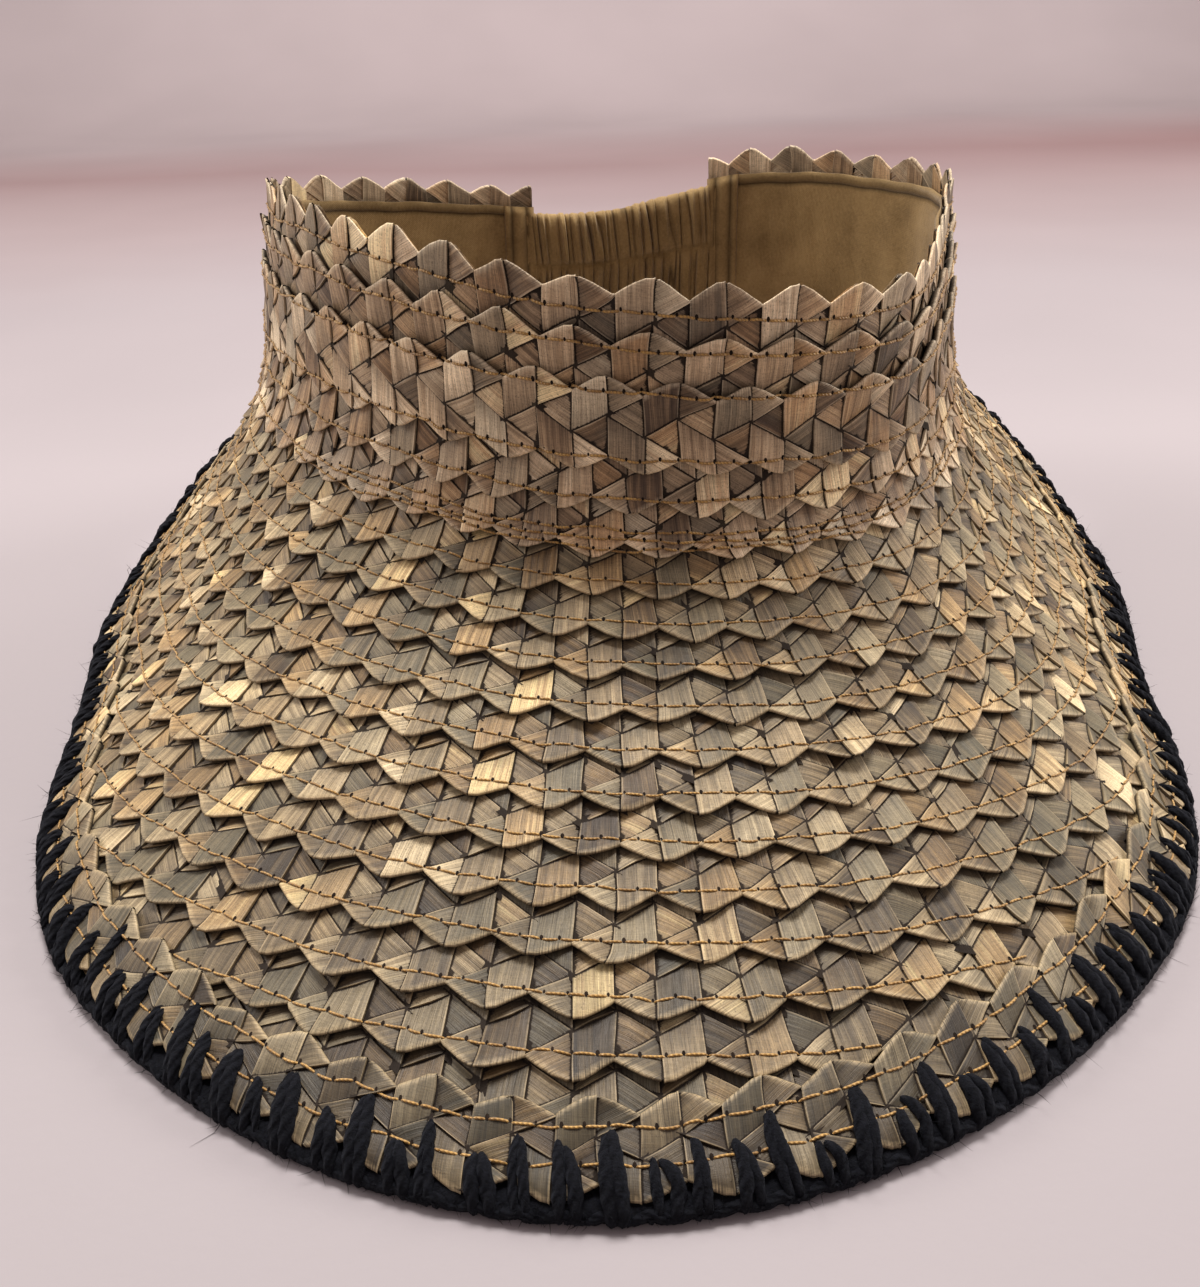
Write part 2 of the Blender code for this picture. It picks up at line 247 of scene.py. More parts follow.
class Pile:
    """Vertices, faces and values per vertex gathered for one mesh."""

    def __init__(self, *names):
        self.points = []
        self.loops = []
        self.sizes = []
        self.count = 0
        self.values = {name: [] for name in names}

    def add(self, points, faces, **values):
        """POINTS is (copies, count, 3), and FACES index one copy."""
        copies, count = points.shape[:2]
        starts = self.count + count * np.arange(copies)
        for size in (3, 4):
            chosen = np.array([face for face in faces if len(face) == size], int)
            if len(chosen):
                self.loops.append((chosen[None] + starts[:, None, None]).reshape(-1))
                self.sizes.append(np.full(copies * len(chosen), size))
        self.points.append(points.reshape(-1, 3))
        self.count += copies * count
        for name, value in values.items():
            self.values[name].append(np.broadcast_to(value, (copies, count, 3)).reshape(-1, 3))

    def add_grid(self, points, closed=False, way=1, **values):
        """POINTS is (rows, columns, 3). The faces turn over where WAY is -1."""
        rows, columns = points.shape[:2]
        faces = [face[::way] for face in grid_faces(rows, columns, closed)]
        values = {name: np.broadcast_to(value, points.shape).reshape(1, -1, 3)
                  for name, value in values.items()}
        self.add(points.reshape(1, -1, 3), faces, **values)

    def build(self, name, finish, rides="root", flat=False):
        points = np.concatenate(self.points)
        loops = np.concatenate(self.loops)
        sizes = np.concatenate(self.sizes)
        mesh = bpy.data.meshes.new(name)
        mesh.vertices.add(len(points))
        mesh.vertices.foreach_set("co", points.reshape(-1).astype(np.float32))
        mesh.loops.add(len(loops))
        mesh.loops.foreach_set("vertex_index", loops.astype(np.int32))
        mesh.polygons.add(len(sizes))
        starts = np.concatenate([[0], np.cumsum(sizes)[:-1]])
        mesh.polygons.foreach_set("loop_start", starts.astype(np.int32))
        mesh.polygons.foreach_set("use_smooth", np.full(len(sizes), not flat))
        for key, parts in self.values.items():
            values = np.concatenate(parts).astype(np.float32)
            layer = mesh.attributes.new(key, "FLOAT_VECTOR", "POINT")
            layer.data.foreach_set("vector", values.reshape(-1))
        mesh.update(calc_edges=True)
        mesh.validate()
        mesh.materials.append(finish)
        item = link(name, mesh)
        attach(item, rides)
        return item


def tubes(paths, ups, radii, sides, lobes=0.0, turns=0.0):
    """Round strands along PATHS (strands, steps, 3). LOBES and TURNS give them
    two twisted plies. Returns points for each strand, faces, and (way, turn)."""
    ways = unit(np.gradient(paths, axis=1))
    across = unit(np.cross(ways, ups))
    lifts = np.cross(across, ways)
    count, steps = paths.shape[:2]
    theta = turn_steps(sides)
    run = way_along(paths)
    twist = 2.0 * math.pi * turns * run
    bump = 1.0 + lobes * np.cos(2.0 * (theta[None, None] - twist[..., None]))
    size = radii[..., None] * bump
    points = (paths[:, :, None]
              + across[:, :, None] * (size * np.cos(theta))[..., None]
              + lifts[:, :, None] * (size * np.sin(theta))[..., None])
    faces = grid_faces(steps, sides, closed=True, turned=True)
    grain = stacked(run[..., None], (theta - math.pi)[None, None], 0.0)
    shape = (count, steps * sides, 3)
    return points.reshape(shape), faces, grain.reshape(shape)


# The plait. Lengths are in strip widths: x along the course, y across it from the
# tooth tips. A repeat is 2 strips long and holds six facets. A corner is
# (x, y in rises of 30 degrees, kind of the side that starts there).

RISE = math.tan(math.radians(30.0))
BRAID_HEIGHT = 5.0 * RISE
FACETS = (
    ("tooth_fold", 30.0, ((1, 1, "fold"), (2, 0, "under"), (2, 2, "over"))),
    ("tooth_upright", 90.0, ((0, 0, "fold"), (1, 1, "over"), (1, 3, "under"), (0, 2, "over"))),
    ("inner_right", -30.0, ((2, 2, "over"), (1, 3, "under"), (1, 1, "under"))),
    ("inner_left", 30.0, ((1, 3, "under"), (0, 4, "under"), (0, 2, "over"))),
    ("far_upright", 90.0, ((1, 3, "under"), (2, 2, "over"), (2, 4, "fold"), (1, 5, "over"))),
    ("far_fold", -30.0, ((0, 4, "over"), (1, 3, "under"), (1, 5, "fold"))),
)
TUCK = 0.16                  # how far a side runs on under its neighbour
SIDE_LIFT = {"fold": 0.45, "over": 0.55, "under": -0.80}
LEAF = 0.00041               # step from one strip to the next
TIP_BLUNTING = 0.095
TIP_WIDTH = 0.18
FAR_OFF = 9.0                # distance to a side that a facet doesn't have
FOLD_MARGIN = 0.08           # how far folds stay off the line between two teeth
INNER_MARGIN = 0.05          # how far inner facets stay off it
FOLD_ROWS = ((0.045, 0.00018), (0.045, 0.00062), (-0.02, 0.00115), (-0.12, 0.00150))
OVER_DROP = 0.00055


def grown_corners(corners, kinds):
    """Corners with the tucked sides moved outward."""
    count = len(corners)
    lines = []
    for k in range(count):
        start, end = corners[k], corners[(k + 1) % count]
        way = unit(end - start)
        outward = np.array([way[1], -way[0]])
        shift = TUCK if kinds[k] == "under" else 0.0
        lines.append((start + outward * shift, way))
    grown = []
    for k in range(count):
        (p, a), (q, b) = lines[k - 1], lines[k]
        t = np.linalg.solve(np.array([a, -b]).T, q - p)[0]
        grown.append(p + a * t)
    return np.array(grown)


def grid_spots(steps):
    """Steps across a facet, closer at its sides."""
    even = np.linspace(0.0, 1.0, steps + 1)
    return even - 0.11 * np.sin(2.0 * math.pi * even)


def facet_template(facet, steps, folds):
    """One facet as points, faces and the values that shape and colour it."""
    name, lean, sides = facet
    corners = np.array([(x, y * RISE) for x, y, kind in sides], float)
    kinds = [kind for x, y, kind in sides]
    grown = grown_corners(corners, kinds)
    quad = grown if len(grown) == 4 else np.array([grown[0], grown[1], grown[2], grown[0]])
    spots = grid_spots(steps)
    u, v = np.meshgrid(spots, spots, indexing="ij")
    flat = (((1 - u) * (1 - v))[..., None] * quad[0] + (u * (1 - v))[..., None] * quad[1]
            + (u * v)[..., None] * quad[2] + ((1 - u) * v)[..., None] * quad[3])
    index = np.arange((steps + 1) ** 2).reshape(steps + 1, steps + 1)
    if len(grown) == 3:
        index[0, :] = index[0, 0]
    points = list(flat.reshape(-1, 2))
    drops = [0.0] * len(points)
    faces = [tuple(dict.fromkeys(index.flat[k] for k in ring)) for ring in grid_faces(steps + 1, steps + 1)]
    rims = [index[:, 0], index[-1, :], index[::-1, -1], index[0, ::-1]]
    rims = rims if len(grown) == 4 else rims[:3]
    for kind, rim in zip(kinds, rims):
        if kind == "under" or (kind == "fold" and not folds):
            continue
        centre_y = corners[:, 1].mean()
        if kind == "fold":
            way = -1.0 if flat.reshape(-1, 2)[rim, 1].mean() < centre_y else 1.0
            rows = [(shift * way, drop) for shift, drop in FOLD_ROWS]
            last = rim
        else:
            rows = ((0.0, 0.0), (0.0, OVER_DROP))
            last = None
        for shift, drop in rows:
            row = range(len(points), len(points) + len(rim))
            points += [points[k] + np.array([0.0, shift]) for k in rim]
            drops += [drop] * len(rim)
            if last is not None:
                faces += [(last[k + 1], last[k], row[k], row[k + 1]) for k in range(len(rim) - 1)]
            last = row
    points = np.array(points)
    used = np.unique(np.concatenate([np.array(face) for face in faces]))
    renumber = np.full(len(points), -1)
    renumber[used] = np.arange(len(used))
    faces = [tuple(int(renumber[k]) for k in face) for face in faces]
    points = points[used]
    drops = np.array(drops)[used]
    return shaped_template(name, lean, corners, kinds, points, drops, faces)


def side_distances(corners, points):
    """Distance of points inward from each side."""
    found = []
    for k in range(len(corners)):
        way = unit(corners[(k + 1) % len(corners)] - corners[k])
        inward = np.array([-way[1], way[0]])
        found.append((points - corners[k]) @ inward)
    return np.array(found)


def off_tip(x):
    """Distance along the course to the nearest tooth tip."""
    return x - 2.0 * np.round(x / 2.0)


def tip_cut(x, y):
    """How much a blunt tooth tip falls short, at spots X along and Y inward."""
    return TIP_BLUNTING * np.exp(-(off_tip(x) / TIP_WIDTH) ** 2) * np.exp(-np.maximum(y, 0.0) / 0.2)


def shaped_template(name, lean, corners, kinds, points, drops, faces):
    """Adds height, arch, side distances and grain to a facet's points."""
    apart = side_distances(corners, points)
    near = 1.0 / np.maximum(apart, 0.02) ** 1.6
    lifts = np.array([SIDE_LIFT[kind] for kind in kinds])
    lift = (near * lifts[:, None]).sum(axis=0) / near.sum(axis=0)
    closest = np.clip(apart.min(axis=0) / 0.26, 0.0, 1.0)
    arch = 1.0 - (1.0 - closest) ** 2
    edge = np.full((len(points), 3), FAR_OFF)
    for column, wanted in enumerate(("under", "over", "fold")):
        chosen = np.array([kind == wanted for kind in kinds])
        if chosen.any():
            edge[:, column] = apart[chosen].min(axis=0)
    # Painted shade on the folds' undersides, deeper where they turn further under.
    shade = np.clip((drops - 0.0001) / 0.0007, 0.0, 1.0)
    x, y = points.T.copy()
    y += tip_cut(x, y)
    y -= tip_cut(x - 1.0, BRAID_HEIGHT - y)
    if name == "tooth_fold":
        y = np.where(x > 2.0, np.maximum(y, RISE * (x - 2.0) + FOLD_MARGIN), y)
    if name == "far_fold":
        y = np.where(x > 1.0, np.minimum(y, BRAID_HEIGHT - RISE * (x - 1.0) - FOLD_MARGIN), y)
    if name.startswith("inner"):
        near_line = RISE * (1.0 - np.abs((x % 2.0) - 1.0))
        far_line = BRAID_HEIGHT - RISE * (1.0 - np.abs(((x - 1.0) % 2.0) - 1.0))
        y = np.clip(y, near_line + INNER_MARGIN, far_line - INNER_MARGIN)
    turn = math.radians(lean)
    along = x * math.cos(turn) + y * math.sin(turn)
    across = -x * math.sin(turn) + y * math.cos(turn)
    return {"x": x, "y": y, "lift": lift, "arch": arch, "drop": drops, "shade": shade,
            "edge": edge, "along": along, "across": across, "faces": faces}


def templates(steps, folds=True):
    """Templates for facets, with STEPS given for each by name."""
    return [facet_template(facet, steps[facet[0]], folds) for facet in FACETS if facet[0] in steps]


FULL = {"tooth_fold": 6, "tooth_upright": 6, "inner_right": 6, "inner_left": 6,
        "far_upright": 6, "far_fold": 6}
SHINGLED = {"tooth_fold": 6, "tooth_upright": 6, "inner_right": 5, "inner_left": 4,
            "far_upright": 3, "far_fold": 2}
UNDER = {"tooth_upright": 2, "inner_right": 2, "inner_left": 2, "far_upright": 3, "far_fold": 3}
BORDER_STRIP = 0.00607       # strip width of the border braid
FULL_SET = templates(FULL)
SHINGLED_SET = templates(SHINGLED)
UNDER_SET = templates(UNDER)


def border_tips(angle):
    """Inner tooth tips of the border braid, down from the base line."""
    return np.maximum(brim_length(angle) + BORDER_OVERHANG - BORDER_WIDTH, CROWN_EDGE_DROP + 0.001)


def course(tips, facing, strip=STRIP_WIDTH, tall=1.0, high=2.60, low=1.3, far=None, turned=1.0, seed=0):
    """One course of braid. TIPS gives DOWN at any angle. FACING is 1 with the teeth
    outward and -1 with them towards the rim. HIGH, LOW and FAR are millimetres out
    at the tips, under the next course and at the far edge. TURNED scales how deep
    the folds turn under."""
    angles = np.linspace(LEFT_END, RIGHT_END, 1301)
    line = on_skin(angles, tips(angles), high * MM)
    way = way_along(line)
    repeats = max(1, round(way[-1] / (2.0 * strip)))
    # COVER is the strength of the painted shadow under the next course's teeth; courses with a far edge get
    # none.
    return {"tips": tips, "facing": facing, "strip": strip, "tall": tall, "turned": turned,
            "high": high * MM, "low": low * MM, "far": None if far is None else far * MM,
            "cover": 0.0 if far is not None else 0.92, "seed": seed,
            "angles": angles, "way": way, "repeats": repeats,
            "scale": way[-1] / (2.0 * strip * repeats)}


def waves(rng, count, short, long):
    """Random wave numbers, sizes and phases for soft irregularity."""
    lengths = np.exp(rng.uniform(np.log(short), np.log(long), count))
    sizes = rng.uniform(0.5, 1.0, count)
    return 2.0 * math.pi / lengths, sizes / sizes.sum(), rng.uniform(0.0, 2.0 * math.pi, count)


def sway(wave, place, tilt=0.0):
    total = 0.0
    for number, size, phase in zip(*wave):
        total = total + size * np.sin(number * place + phase + tilt)
    return total


def course_place(row, x, y):
    """Angle and DOWN of a spot on a course."""
    run = x * row["strip"] * row["scale"]
    if row["facing"] < 0:
        run = row["way"][-1] - run
    angle = np.interp(run, row["way"], row["angles"])
    down = row["tips"](angle) - row["facing"] * y * row["strip"] * row["tall"]
    return angle, down, run


SHOWN = 1.34                 # what the next course leaves bare, in strip widths
COVERED_FALL = 0.00070       # fall for each strip width under the next course
LOWEST_OUT = 0.00022


def course_out(row, y):
    """How far out a course lies, from its tooth tips inward."""
    share = np.clip(y / SHOWN, -0.1, 1.0)
    out = row["high"] + (row["low"] - row["high"]) * share
    if row["far"] is None:
        return np.maximum(out - COVERED_FALL * np.maximum(0.0, y - SHOWN), LOWEST_OUT)
    far = np.clip((y - (BRAID_HEIGHT - SHOWN)) / SHOWN, 0.0, 1.1)
    return out + (row["far"] - row["low"]) * far


PRESS_CAP = 0.00135          # height of the brim's courses under the border
WOBBLE = 0.0004
TOOTH_LIFT = 0.0011          # most that a tooth curls up
TOOTH_REACH = 0.055          # spread of the teeth's reach and lean, in strip widths
TOOTH_SKEW = 0.075
ARCH = (0.00006, 0.00036)    # least and most height of a facet's middle
EDGE_BEND = 80.0             # how sharply the border turns down over the edge


def lay_course(pile, row, shapes, side=1, over_edge=False):
    """Puts every facet of a course into a pile of faces."""
    rng = np.random.default_rng(1000 + row["seed"])
    shift_waves = waves(rng, 5, 0.009, 0.05)
    tip_waves = waves(rng, 5, 0.012, 0.07)
    lift_waves = waves(rng, 5, 0.02, 0.12)
    repeats = row["repeats"]
    teeth = 2 * repeats + 8
    tooth_lift = np.minimum(rng.gamma(1.8, 0.00024, teeth), TOOTH_LIFT)
    tooth_reach = rng.normal(0.0, TOOTH_REACH, teeth)
    tooth_skew = rng.normal(0.0, TOOTH_SKEW, teeth)
    strand_tone = rng.uniform(0.0, 1.0, (3, repeats + 12))
    for kind, shape in enumerate(shapes):
        index = np.arange(-1, repeats + 1)
        count = len(index)
        x = shape["x"][None] + 2.0 * index[:, None]
        y = np.repeat(shape["y"][None], count, axis=0)
        tooth = np.round(x / 2.0).astype(int) + 3
        y = y + tooth_reach[tooth] * np.exp(-np.maximum(y, 0.0) / 0.5)
        centred = np.exp(-(off_tip(x) / 0.6) ** 2)
        x = x + tooth_skew[tooth] * centred * np.exp(-np.maximum(y, 0.0) / 0.45)
        run_guess = x * row["strip"]
        wobble = WOBBLE * sway(shift_waves, run_guess, 2.0 * y) / row["strip"]
        stretch = WOBBLE * sway(tip_waves, run_guess, 1.3 * y) / row["strip"]
        angle, down, run = course_place(row, x + wobble, y + stretch)
        tilt_x = rng.normal(0.0, 0.00020, (count, 1))
        tilt_y = rng.normal(0.0, 0.00022, (count, 1))
        arch = rng.uniform(*ARCH, (count, 1))
        if side < 0:
            out = 0.0003 - 0.0004 * np.clip((y - 1.3) / 1.5, 0.0, 1.0) - shape["lift"] * LEAF * 0.7
            out = out + shape["drop"] * 0.6 - 0.5 * arch * shape["arch"]
        else:
            seen = 1.0 if row["far"] else 1.0 - smooth(1.3, 2.1, y)
            out = course_out(row, y) + shape["lift"] * LEAF + arch * shape["arch"] * seen
            for tilt, place in ((tilt_x, x), (tilt_y, y)):
                out = out + tilt * (place - place.mean(axis=1, keepdims=True)) * seen
            out = out + tooth_lift[tooth] * np.clip(1.0 - y / 0.9, 0.0, 1.2) ** 2
            out = out + 0.00022 * sway(lift_waves, run)
            out = out - shape["drop"] * row["turned"]
        if over_edge:
            beyond = np.maximum(0.0, down - (brim_length(angle) - 0.0015))
            out = out - EDGE_BEND * beyond ** 2
        elif row["facing"] > 0:
            start = border_tips(angle)
            press = smooth(start - 0.002, start + 0.0025, down)
            if side > 0:
                pressed = np.minimum(out, PRESS_CAP + 0.5 * (out - row["low"]))
                out = out * (1.0 - press) + pressed * press
            down = np.minimum(down, brim_length(angle) - 0.0005)
        keep = (angle.max(axis=1) > LEFT_END) & (angle.min(axis=1) < RIGHT_END)
        if not over_edge and row["facing"] > 0:
            hidden = border_tips(angle) + (0.006 if side > 0 else BORDER_WIDTH - 0.004)
            keep &= (down < hidden).any(axis=1)
        points = on_skin(angle, down, out)
        strand = index + 4 + (kind % 2)
        tone = 0.55 * strand_tone[kind % 3][strand] + 0.45 * rng.uniform(0.0, 1.0, count)
        seeds = rng.uniform(0.0, 40.0, count)
        grain = stacked((shape["along"] + 2.0 * index[:, None]) * row["strip"] + seeds[:, None],
                        shape["across"] * row["strip"], seeds[:, None])
        # Painted shadow where the next course's teeth lie over this one, and painted shade on the folds'
        # undersides of fully turned courses.
        cover_shadow = row["cover"] * smooth(1.32, 1.92, y) if side > 0 else 0.0
        look = stacked(tone[:, None], shape["shade"] * (row["turned"] > 0.8), cover_shadow)
        edge = np.broadcast_to(shape["edge"], points.shape).copy()
        if side < 0:
            edge[..., 0] = np.where(edge[..., 0] < 0.0, 0.3, edge[..., 0])
        faces = shape["faces"] if side > 0 else [face[::-1] for face in shape["faces"]]
        pile.add(points[keep], faces, grain=grain[keep], look=look[keep], edge=edge[keep])


def crown_share(share):
    return (share - 1.0) * CROWN_WALL


def level(down):
    return lambda angle: np.full(np.shape(angle), down)


CROWN_ROWS = (
    course(level(crown_share(0.0)), -1, high=1.05, low=0.95, turned=0.55, seed=1),
    course(level(crown_share(0.165)), -1, high=2.45, low=1.45, seed=2),
    course(level(crown_share(0.867)), 1, high=2.65, low=1.35, seed=4),
    course(level(CROWN_EDGE_DROP), 1, high=2.8, low=1.5, seed=5),
)
MIDDLE_ROW = course(level(crown_share(0.335)), -1, tall=0.94, high=2.8, low=2.55, far=2.85, seed=3)
BRIM_COUNT = 12
BRIM_ROWS = [course(level(CROWN_EDGE_DROP + k * COURSE_SPACING), 1, seed=10 + k)
             for k in range(1, BRIM_COUNT + 1)]
BORDER_ROW = course(border_tips, -1, strip=BORDER_STRIP, tall=0.90, high=2.75, low=2.5, far=2.9, seed=30)


# Node materials


class Value:
    """An output of a node, to reckon with."""

    def __init__(self, finish, socket):
        self.finish = finish
        self.socket = socket

    def maths(self, operation, other=0.0):
        return self.finish.node("ShaderNodeMath", 0, ((0, self), (1, other)), operation=operation)

    def __add__(self, other):
        return self.maths("ADD", other)

    def __sub__(self, other):
        return self.maths("SUBTRACT", other)

    def __mul__(self, other):
        return self.maths("MULTIPLY", other)

    def most(self, other):
        return self.maths("MAXIMUM", other)

    def sine(self):
        return self.maths("SINE")

    def remap(self, low, high, to_low, to_high):
        return self.finish.node("ShaderNodeMapRange", "Result", (
            ("Value", self), ("From Min", low), ("From Max", high), ("To Min", to_low), ("To Max", to_high)))

    def noise(self, scale, detail=2.0, rough=0.5):
        return self.finish.node("ShaderNodeTexNoise", "Fac", (
            ("Vector", self), ("Scale", scale), ("Detail", detail), ("Roughness", rough)))

    def drawn_out(self, scale, detail, rough=0.5):
        """Noise with its own scale each way."""
        spot = self.finish.node("ShaderNodeMapping", "Vector", (("Vector", self), ("Scale", scale)))
        return spot.noise(1.0, detail, rough)

    def parts(self):
        return [self.finish.node("ShaderNodeSeparateXYZ", k, ((0, self),)) for k in range(3)]

    def grey(self):
        return self.finish.node("ShaderNodeCombineXYZ", 0, ((0, self), (1, self), (2, self)))

    def mixed(self, share, other, how="MIX"):
        return self.finish.node("ShaderNodeMix", 2, ((0, share), (6, self), (7, other)),
                                data_type="RGBA", blend_type=how)

    def bump(self, strength, distance):
        return self.finish.node("ShaderNodeBump", "Normal", (
            ("Height", self), ("Strength", strength), ("Distance", distance)))

    def ramp(self, stops):
        colour = self.finish.node("ShaderNodeValToRGB", "Color", (("Fac", self),))
        elements = colour.socket.node.color_ramp.elements
        while len(elements) < len(stops):
            elements.new(0.5)
        for element, (place, tone) in zip(elements, stops):
            element.position = place
            element.color = (*tone, 1.0)
        return colour


class Finish:
    """A material and its nodes."""

    def __init__(self, name):
        self.material = bpy.data.materials.new(name)
        self.material.use_nodes = True
        self.tree = self.material.node_tree
        self.place = self.node("ShaderNodeTexCoord", "Object")

    def feed(self, entry, source):
        """Links an input to a value, or sets it."""
        if isinstance(source, Value):
            self.tree.links.new(source.socket, entry)
        elif isinstance(source, tuple) and len(source) < len(entry.default_value):
            entry.default_value = (*source, 1.0)
        else:
            entry.default_value = source

    def node(self, kind, out, links=(), **settings):
        """One node's output OUT. LINKS are (its input, what feeds it or its value)."""
        made = self.tree.nodes.new(kind)
        for key, value in settings.items():
            setattr(made, key, value)
        for entry, source in links:
            self.feed(made.inputs[entry], source)
        return Value(self, made.outputs[out])

    def attribute(self, name):
        return self.node("ShaderNodeAttribute", "Vector", attribute_name=name)

    def surface(self, **inputs):
        """Sets the surface's inputs, their names written with _ for a space."""
        shader = self.tree.nodes["Principled BSDF"]
        for name, source in inputs.items():
            self.feed(shader.inputs[name.replace("_", " ")], source)
        return self.material


# Colour of the painted shade in the straw: in the gaps where a strip tucks under, on the folds' undersides
# and under the next course's teeth.
STRAW_SHADE = (0.014, 0.009, 0.006)
STRAW_SPECK = (0.050, 0.034, 0.020)
STRAW_FRONT = -0.140         # Y where the straw is darkest
STRAW_BACK = -0.052          # Y from where it isn't darkened


def straw_finish(name, stops, tint, warm, pale, rough, front):
    """Palm leaf: fibres along each strip, streaks and blotches, painted shade in the gaps where strips tuck
    under, under the folds and under the next course, and folds paler from fraying and painted highlight.
    TINT, WARM and PALE are tones over the STOPS, and FRONT is how dark the straw gets towards the front."""
    finish = Finish(name)
    grain = finish.attribute("grain")
    # Of the look values, the second is painted shade on the folds' undersides and the third painted shadow
    # under the next course's teeth.
    tone, turned, cover_shadow = finish.attribute("look").parts()
    under, over, fold = finish.attribute("edge").parts()
    place = finish.place
    fibre = grain.drawn_out((110.0, 5200.0, 7.0), 3.0, 0.6) * 0.78
    fibre = fibre + grain.drawn_out((4200.0, 500.0, 3.0), 2.0) * 0.22
    streak = grain.drawn_out((35.0, 900.0, 5.0), 2.0)
    speck = grain.drawn_out((2600.0, 3800.0, 9.0), 1.0)
    mix = tone * 1.02 + (streak - 0.46) * 0.9 + (place.noise(55.0, 3.0) - 0.46) * 0.6
    pick = (grain.parts()[2] * 37.0).sine()
    colour = mix.ramp(stops)
    colour = colour.mixed(pick.remap(0.35, 0.95, 0.0, 0.5), tint)
    colour = colour.mixed(pick.remap(-0.4, -1.0, 0.0, 0.5), warm, "OVERLAY")
    colour = colour.mixed(place.noise(140.0).remap(0.55, 0.75, 0.0, 0.3), tint)
    colour = colour.mixed(0.85, fibre.remap(0.34, 0.66, 0.42, 1.42).grey(), "MULTIPLY")
    # The straw darkens towards the front, by Y.
    front_darkening = place.parts()[1].remap(STRAW_FRONT, STRAW_BACK, front, 1.04)
    colour = colour.mixed(1.0, front_darkening.grey(), "MULTIPLY")
    colour = colour.mixed(speck.remap(0.60, 0.72, 0.0, 0.5), STRAW_SPECK)
    # Paler along the folds, partly frayed leaf and partly painted highlight, and a thin painted highlight
    # along the over sides.
    frayed_and_lit_edge = fold.remap(-0.02, 0.13, 0.55, 0.0).most(over.remap(0.0, 0.05, 0.50, 0.0))
    colour = colour.mixed(frayed_and_lit_edge * fibre.remap(0.38, 0.6, 0.10, 0.90), pale)
    # Painted shade: a dark line in the gap where a strip tucks under its neighbour, and a wider soft shade
    # fading in from the tucked sides; with the folds' undersides and the shadow under the next course it
    # darkens the colour towards the shade colour.
    line = (under + (fibre - 0.5) * 0.10).remap(0.040, 0.080, 0.97, 0.0)
    soft = under.remap(0.0, 0.55, 0.38, 0.0)
    dark = line.most(soft).most((turned * 0.95).most(cover_shadow))
    gloss = fibre.remap(0.3, 0.7, rough + 0.10, rough - 0.08)
    return finish.surface(
        Base_Color=colour.mixed(dark, STRAW_SHADE), Roughness=gloss.most(dark), Specular_IOR_Level=0.34,
        Normal=(fibre * 0.8 + streak * 0.8).bump(0.9, 0.00022))


def thread_finish():
    finish = Finish("gold_thread")
    way, turn, _ = finish.attribute("grain").parts()
    ply = (way * 9000.0 + turn).sine()
    colour = finish.place.noise(220.0).ramp(((0.3, (0.27, 0.140, 0.030)), (0.7, (0.52, 0.30, 0.075))))
    # Painted shade in the grooves between the twisted plies.
    colour = colour.mixed(ply.remap(-1.0, -0.2, 0.6, 0.0), (0.16, 0.075, 0.015))
    return finish.surface(Base_Color=colour, Roughness=0.42, Sheen_Weight=0.2, Normal=ply.bump(0.6, 0.00008))


# Near-black painted shade inside the needle holes.
def hole_shade_finish():
    finish = Finish("needle_hole_shade")
    colour = finish.place.noise(900.0, 1.0).ramp(((0.3, (0.006, 0.004, 0.003)), (0.7, (0.022, 0.014, 0.009))))
    return finish.surface(Base_Color=colour, Roughness=0.9, Specular_IOR_Level=0.1)


def wool_finish():
    finish = Finish("black_wool")
    way, turn, _ = finish.attribute("grain").parts()
    fluff = finish.place.noise(1500.0, 4.0, 0.7)
    ply = (way * 2600.0 + turn * 4.0).sine() * 0.3 + fluff
    colour = fluff.ramp(((0.30, (0.0010, 0.0011, 0.0018)), (0.74, (0.0062, 0.0068, 0.0105))))
    return finish.surface(Base_Color=colour, Roughness=0.88, Specular_IOR_Level=0.12, Sheen_Weight=0.08,
                          Sheen_Roughness=0.4, Sheen_Tint=(0.25, 0.27, 0.34), Normal=ply.bump(0.9, 0.0005))


def cotton_finish(name, dark, light):
    """Napped khaki twill."""
    finish = Finish(name)
    along, across, seam = finish.attribute("weave").parts()
    warp = ((along + across) * 9500.0).sine()
    weft = (along * 14000.0).sine()
    nap = finish.place.noise(1300.0, 3.0, 0.6)
    cloud = finish.place.noise(70.0, 4.0, 0.6)
    colour = (cloud * 0.75 + nap * 0.35).ramp(((0.36, dark), (0.72, light)))
    # The third weave value darkens the cloth: the seams, partly stitching and partly painted shade in their
    # grooves, and in the casing painted shade in the pleat valleys and a dark line along the gather.
    colour = colour.mixed(seam * 0.85, (0.022, 0.013, 0.005))
    return finish.surface(Base_Color=colour, Roughness=0.95, Specular_IOR_Level=0.15, Sheen_Weight=0.15,
                          Normal=((warp + weft) * 0.25 + nap * 1.2).bump(0.6, 0.00018))


CROWN_STRAW = straw_finish("crown_straw", (
    (0.05, (0.078, 0.048, 0.027)), (0.28, (0.200, 0.130, 0.072)), (0.52, (0.395, 0.274, 0.158)),
    (0.78, (0.620, 0.455, 0.280)), (1.00, (0.920, 0.740, 0.490))),
    (0.250, 0.218, 0.146), (0.60, 0.47, 0.31), (0.90, 0.74, 0.50), 0.48, 1.0)
BRIM_TONES = (
    (0.05, (0.054, 0.036, 0.019)), (0.28, (0.134, 0.093, 0.048)), (0.52, (0.266, 0.191, 0.101)),
    (0.78, (0.455, 0.340, 0.186)), (1.00, (0.800, 0.625, 0.365)))
BRIM_STRAW, BORDER_STRAW = (straw_finish(name, BRIM_TONES, (0.176, 0.159, 0.098), (0.62, 0.48, 0.29),
                                         (0.68, 0.52, 0.30), 0.50, front)
                            for name, front in (("brim_straw", 0.46), ("border_straw", 0.31)))
THREAD = thread_finish()
